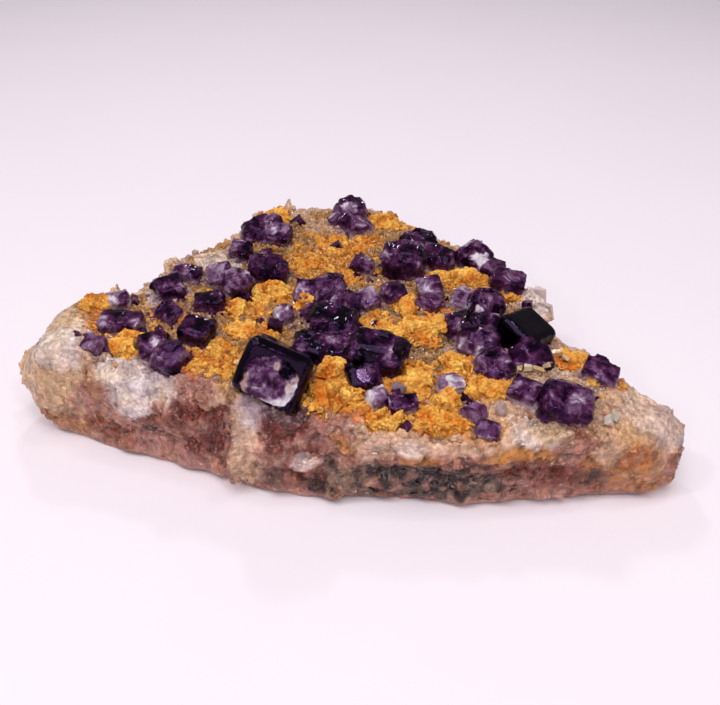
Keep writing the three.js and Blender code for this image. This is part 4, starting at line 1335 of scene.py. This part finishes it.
# %% Strew the granules
GRANULES = 6000
face_rust = stone_rust[stone_faces[:, 0]]
clumps = ramp(two_sizes(face_middles, 2.2, 0.9, 0.5, 91), -0.1, 0.35)
near_rust = bare_top * high_up * ramp(inward(face_middles), 2.5, 5.0)
near_rust = near_rust * np.clip(face_rust, 0.005, 1) ** 1.3 * (0.08 + clumps)
places, facing = scattered(near_rust, GRANULES, rng)
size = np.clip(rng.lognormal(-1.0, 0.35, GRANULES), 0.2, 0.75)
shape = ball(1)
sizes = size[:, None] * rng.uniform(0.6, 1.1, (GRANULES, 3))
granules = planted(shape, places + 0.15 * facing, rng.normal(0, 1, places.shape), sizes, rng)
build(
    "limonite_granules", *granules, rust_crust, "limonite", smooth=False,
    # Here the value is a random brown tone on each granule, not shade.
    hollow=each(rng.uniform(0, 0.5, GRANULES), shape),
)
print("granules:", len(granules[1]), "triangles")

# %% [markdown]
# ## Lumps and shards
#
# A few grains are large or pale enough to be recognised: a thin clear blade behind the black cube,
# cream crumbs at its foot, a pale glint at the right, painted as two pale chips, and a pale pebble
# and two grey-lilac blocks near the front. The glint is a painted highlight. Each is a ball or a
# chip of quartz. A row gives x, y and z, then width, depth and height in millimetres, and the
# colour.

# %% Set the single grains
LUMPS = [
    (24.1, -29.9, 13.9, 1.9, 1.7, 1.3, "#b79c98"), (9.5, -26.9, 15.0, 2.4, 2.2, 1.6, "#85707a"),
    (6.4, -24.0, 15.0, 2.0, 2.0, 1.2, "#a38f98"),
]
SHARDS = [
    (35.0, -1.0, 14.2, 1.9, 0.9, 4.6, "#d8c3c0"), (36.0, -3.4, 13.2, 1.6, 0.9, 3.0, "#cdb5b0"),
    (27.0, -21.8, 14.5, 1.4, 0.8, 0.7, "#e7cba6"), (28.2, -21.2, 14.5, 0.8, 1.0, 0.6, "#c59d70"),
    (29.5, -21.0, 14.6, 1.2, 0.8, 0.9, "#ecd3b4"), (31.0, -21.3, 14.4, 1.5, 0.7, 0.7, "#cfa87c"),
    (32.4, -20.3, 14.5, 0.9, 0.7, 0.8, "#eccfa9"), (33.3, -19.6, 14.4, 0.8, 1.1, 0.6, "#b98f66"),
    (34.8, -16.7, 14.2, 1.5, 0.9, 1.1, "#e8c7a2"), (36.0, -17.7, 14.0, 1.1, 1.3, 0.8, "#d3a97b"),
    # The next two pale chips are a painted highlight: they stand for a glint.
    (39.4, -31.2, 12.9, 1.4, 1.0, 0.9, "#d8cac0"), (40.4, -30.3, 12.9, 0.9, 1.3, 0.9, "#cfc8bd"),
]
for name, table, shape in (("quartz_lumps", LUMPS, ball(2)), ("quartz_shards", SHARDS, chip())):
    numbers = np.array([row[:6] for row in table])
    colours = np.array([linear(row[6]) for row in table])
    lean = np.where(numbers[:, 5:] > 2, 0.12, 0.7)
    axes = lean * rng.normal(0, 1, (len(table), 3)) + (0, 0, 1)
    sizes = numbers[:, 3:] * (0.5 if name == "quartz_lumps" else 0.9)
    points, faces = planted(shape, numbers[:, :3], axes, sizes, rng)
    dented = 0.35 * soft_noise(points, 0.9, 61) + 0.2 * soft_noise(points, 0.4, 62)
    if name == "quartz_lumps":
        points = points + outward(points, faces) * dented[:, None]
    build(
        name, points, faces, drusy_quartz, "quartz", smooth=False,
        stain=each(colours, shape), hollow=each(np.zeros(len(table)), shape),
    )
print(len(LUMPS), "lumps,", len(SHARDS), "shards")

# %% [markdown]
# ## Stage, light and camera
#
# A plain pale floor carries the specimen. A broad soft light above, a faint fill from the front
# and a dim even sky keep the shadow faint, as on a product table. Five small lamps stand round
# them: a small lamp is mirrored as a sharp point, and so the quartz sparkles. The camera looks
# down 36 degrees from 85 mm above the floor, with an angle of view of 50 degrees.

# %% Floor and light
FLOOR = np.array([(-3.0, -3.0, 0.0), (3.0, -3.0, 0.0), (3.0, 3.0, 0.0), (-3.0, 3.0, 0.0)])
LIGHTS = {  # place and target in metres, size in metres, power in watts
    "canopy": ((-0.04, -0.14, 0.52), (0, 0, 0), 0.46, 1.75),
    "fill": ((0.0, -0.62, 0.22), (0, 0, 0.01), 0.30, 0.3),
    "lamp_left": ((-0.30, -0.10, 0.46), (0, 0, 0), 0.06, 0.32),
    "lamp_right": ((0.22, -0.30, 0.44), (0, 0, 0), 0.06, 0.32),
    "lamp_back": ((-0.06, 0.36, 0.40), (0, 0, 0), 0.05, 0.32),
    "lamp_high": ((0.12, 0.08, 0.54), (0, 0, 0), 0.05, 0.22),
    "lamp_low": ((-0.20, -0.40, 0.30), (0, 0, 0), 0.05, 0.18),
}


def floor_material():
    """Pale paper with a faint cloud in it."""
    material, tree, place = new_material("paper_pale")
    fibre = noise(tree, place, 40, 3.0)
    colour = coloured(tree, fibre, ((0.0, "#f1e6ef"), (1.0, "#f4eaf2")))
    return finished(material, {"Base Color": colour, "Roughness": 0.85})


floor = bpy.data.objects.new("floor", bare_mesh("floor", FLOOR, np.array([(0, 1, 2, 3)])))
floor.data.materials.append(floor_material())
bpy.context.scene.collection.objects.link(floor)

world = bpy.data.worlds.new("sky")
world.use_nodes = True
sky = world.node_tree.nodes["Background"]
sky.inputs["Color"].default_value = (1.0, 0.95, 1.0, 1.0)
sky.inputs["Strength"].default_value = 0.25
bpy.context.scene.world = world


def soft_light(name, place, target, size, power):
    """A round lamp that faces its target."""
    lamp = bpy.data.lights.new(name, "AREA")
    lamp.shape = "DISK"
    lamp.size = size
    lamp.energy = power
    holder = bpy.data.objects.new(name, lamp)
    holder.location = place
    holder.rotation_mode = "QUATERNION"
    holder.rotation_quaternion = (Vector(target) - Vector(place)).to_track_quat("-Z", "Y")
    bpy.context.scene.collection.objects.link(holder)


for name, settings in LIGHTS.items():
    soft_light(name, *settings)

# %% Camera
LOOK_DOWN = 35.8  # degrees
camera = bpy.data.objects.new("camera", bpy.data.cameras.new("camera"))
camera.data.sensor_width = 36.0
camera.data.lens = 38.75
camera.data.clip_start = 0.005
camera.location = (0.00403, -0.11473, 0.085)
camera.rotation_euler = (math.radians(90 - LOOK_DOWN), 0, 0)
bpy.context.scene.collection.objects.link(camera)
bpy.context.scene.camera = camera
bpy.context.scene.view_settings.view_transform = "Standard"

# %% The sizes of the solids
print("solids", np.round(np.array(solids_box) / MM, 2).tolist())
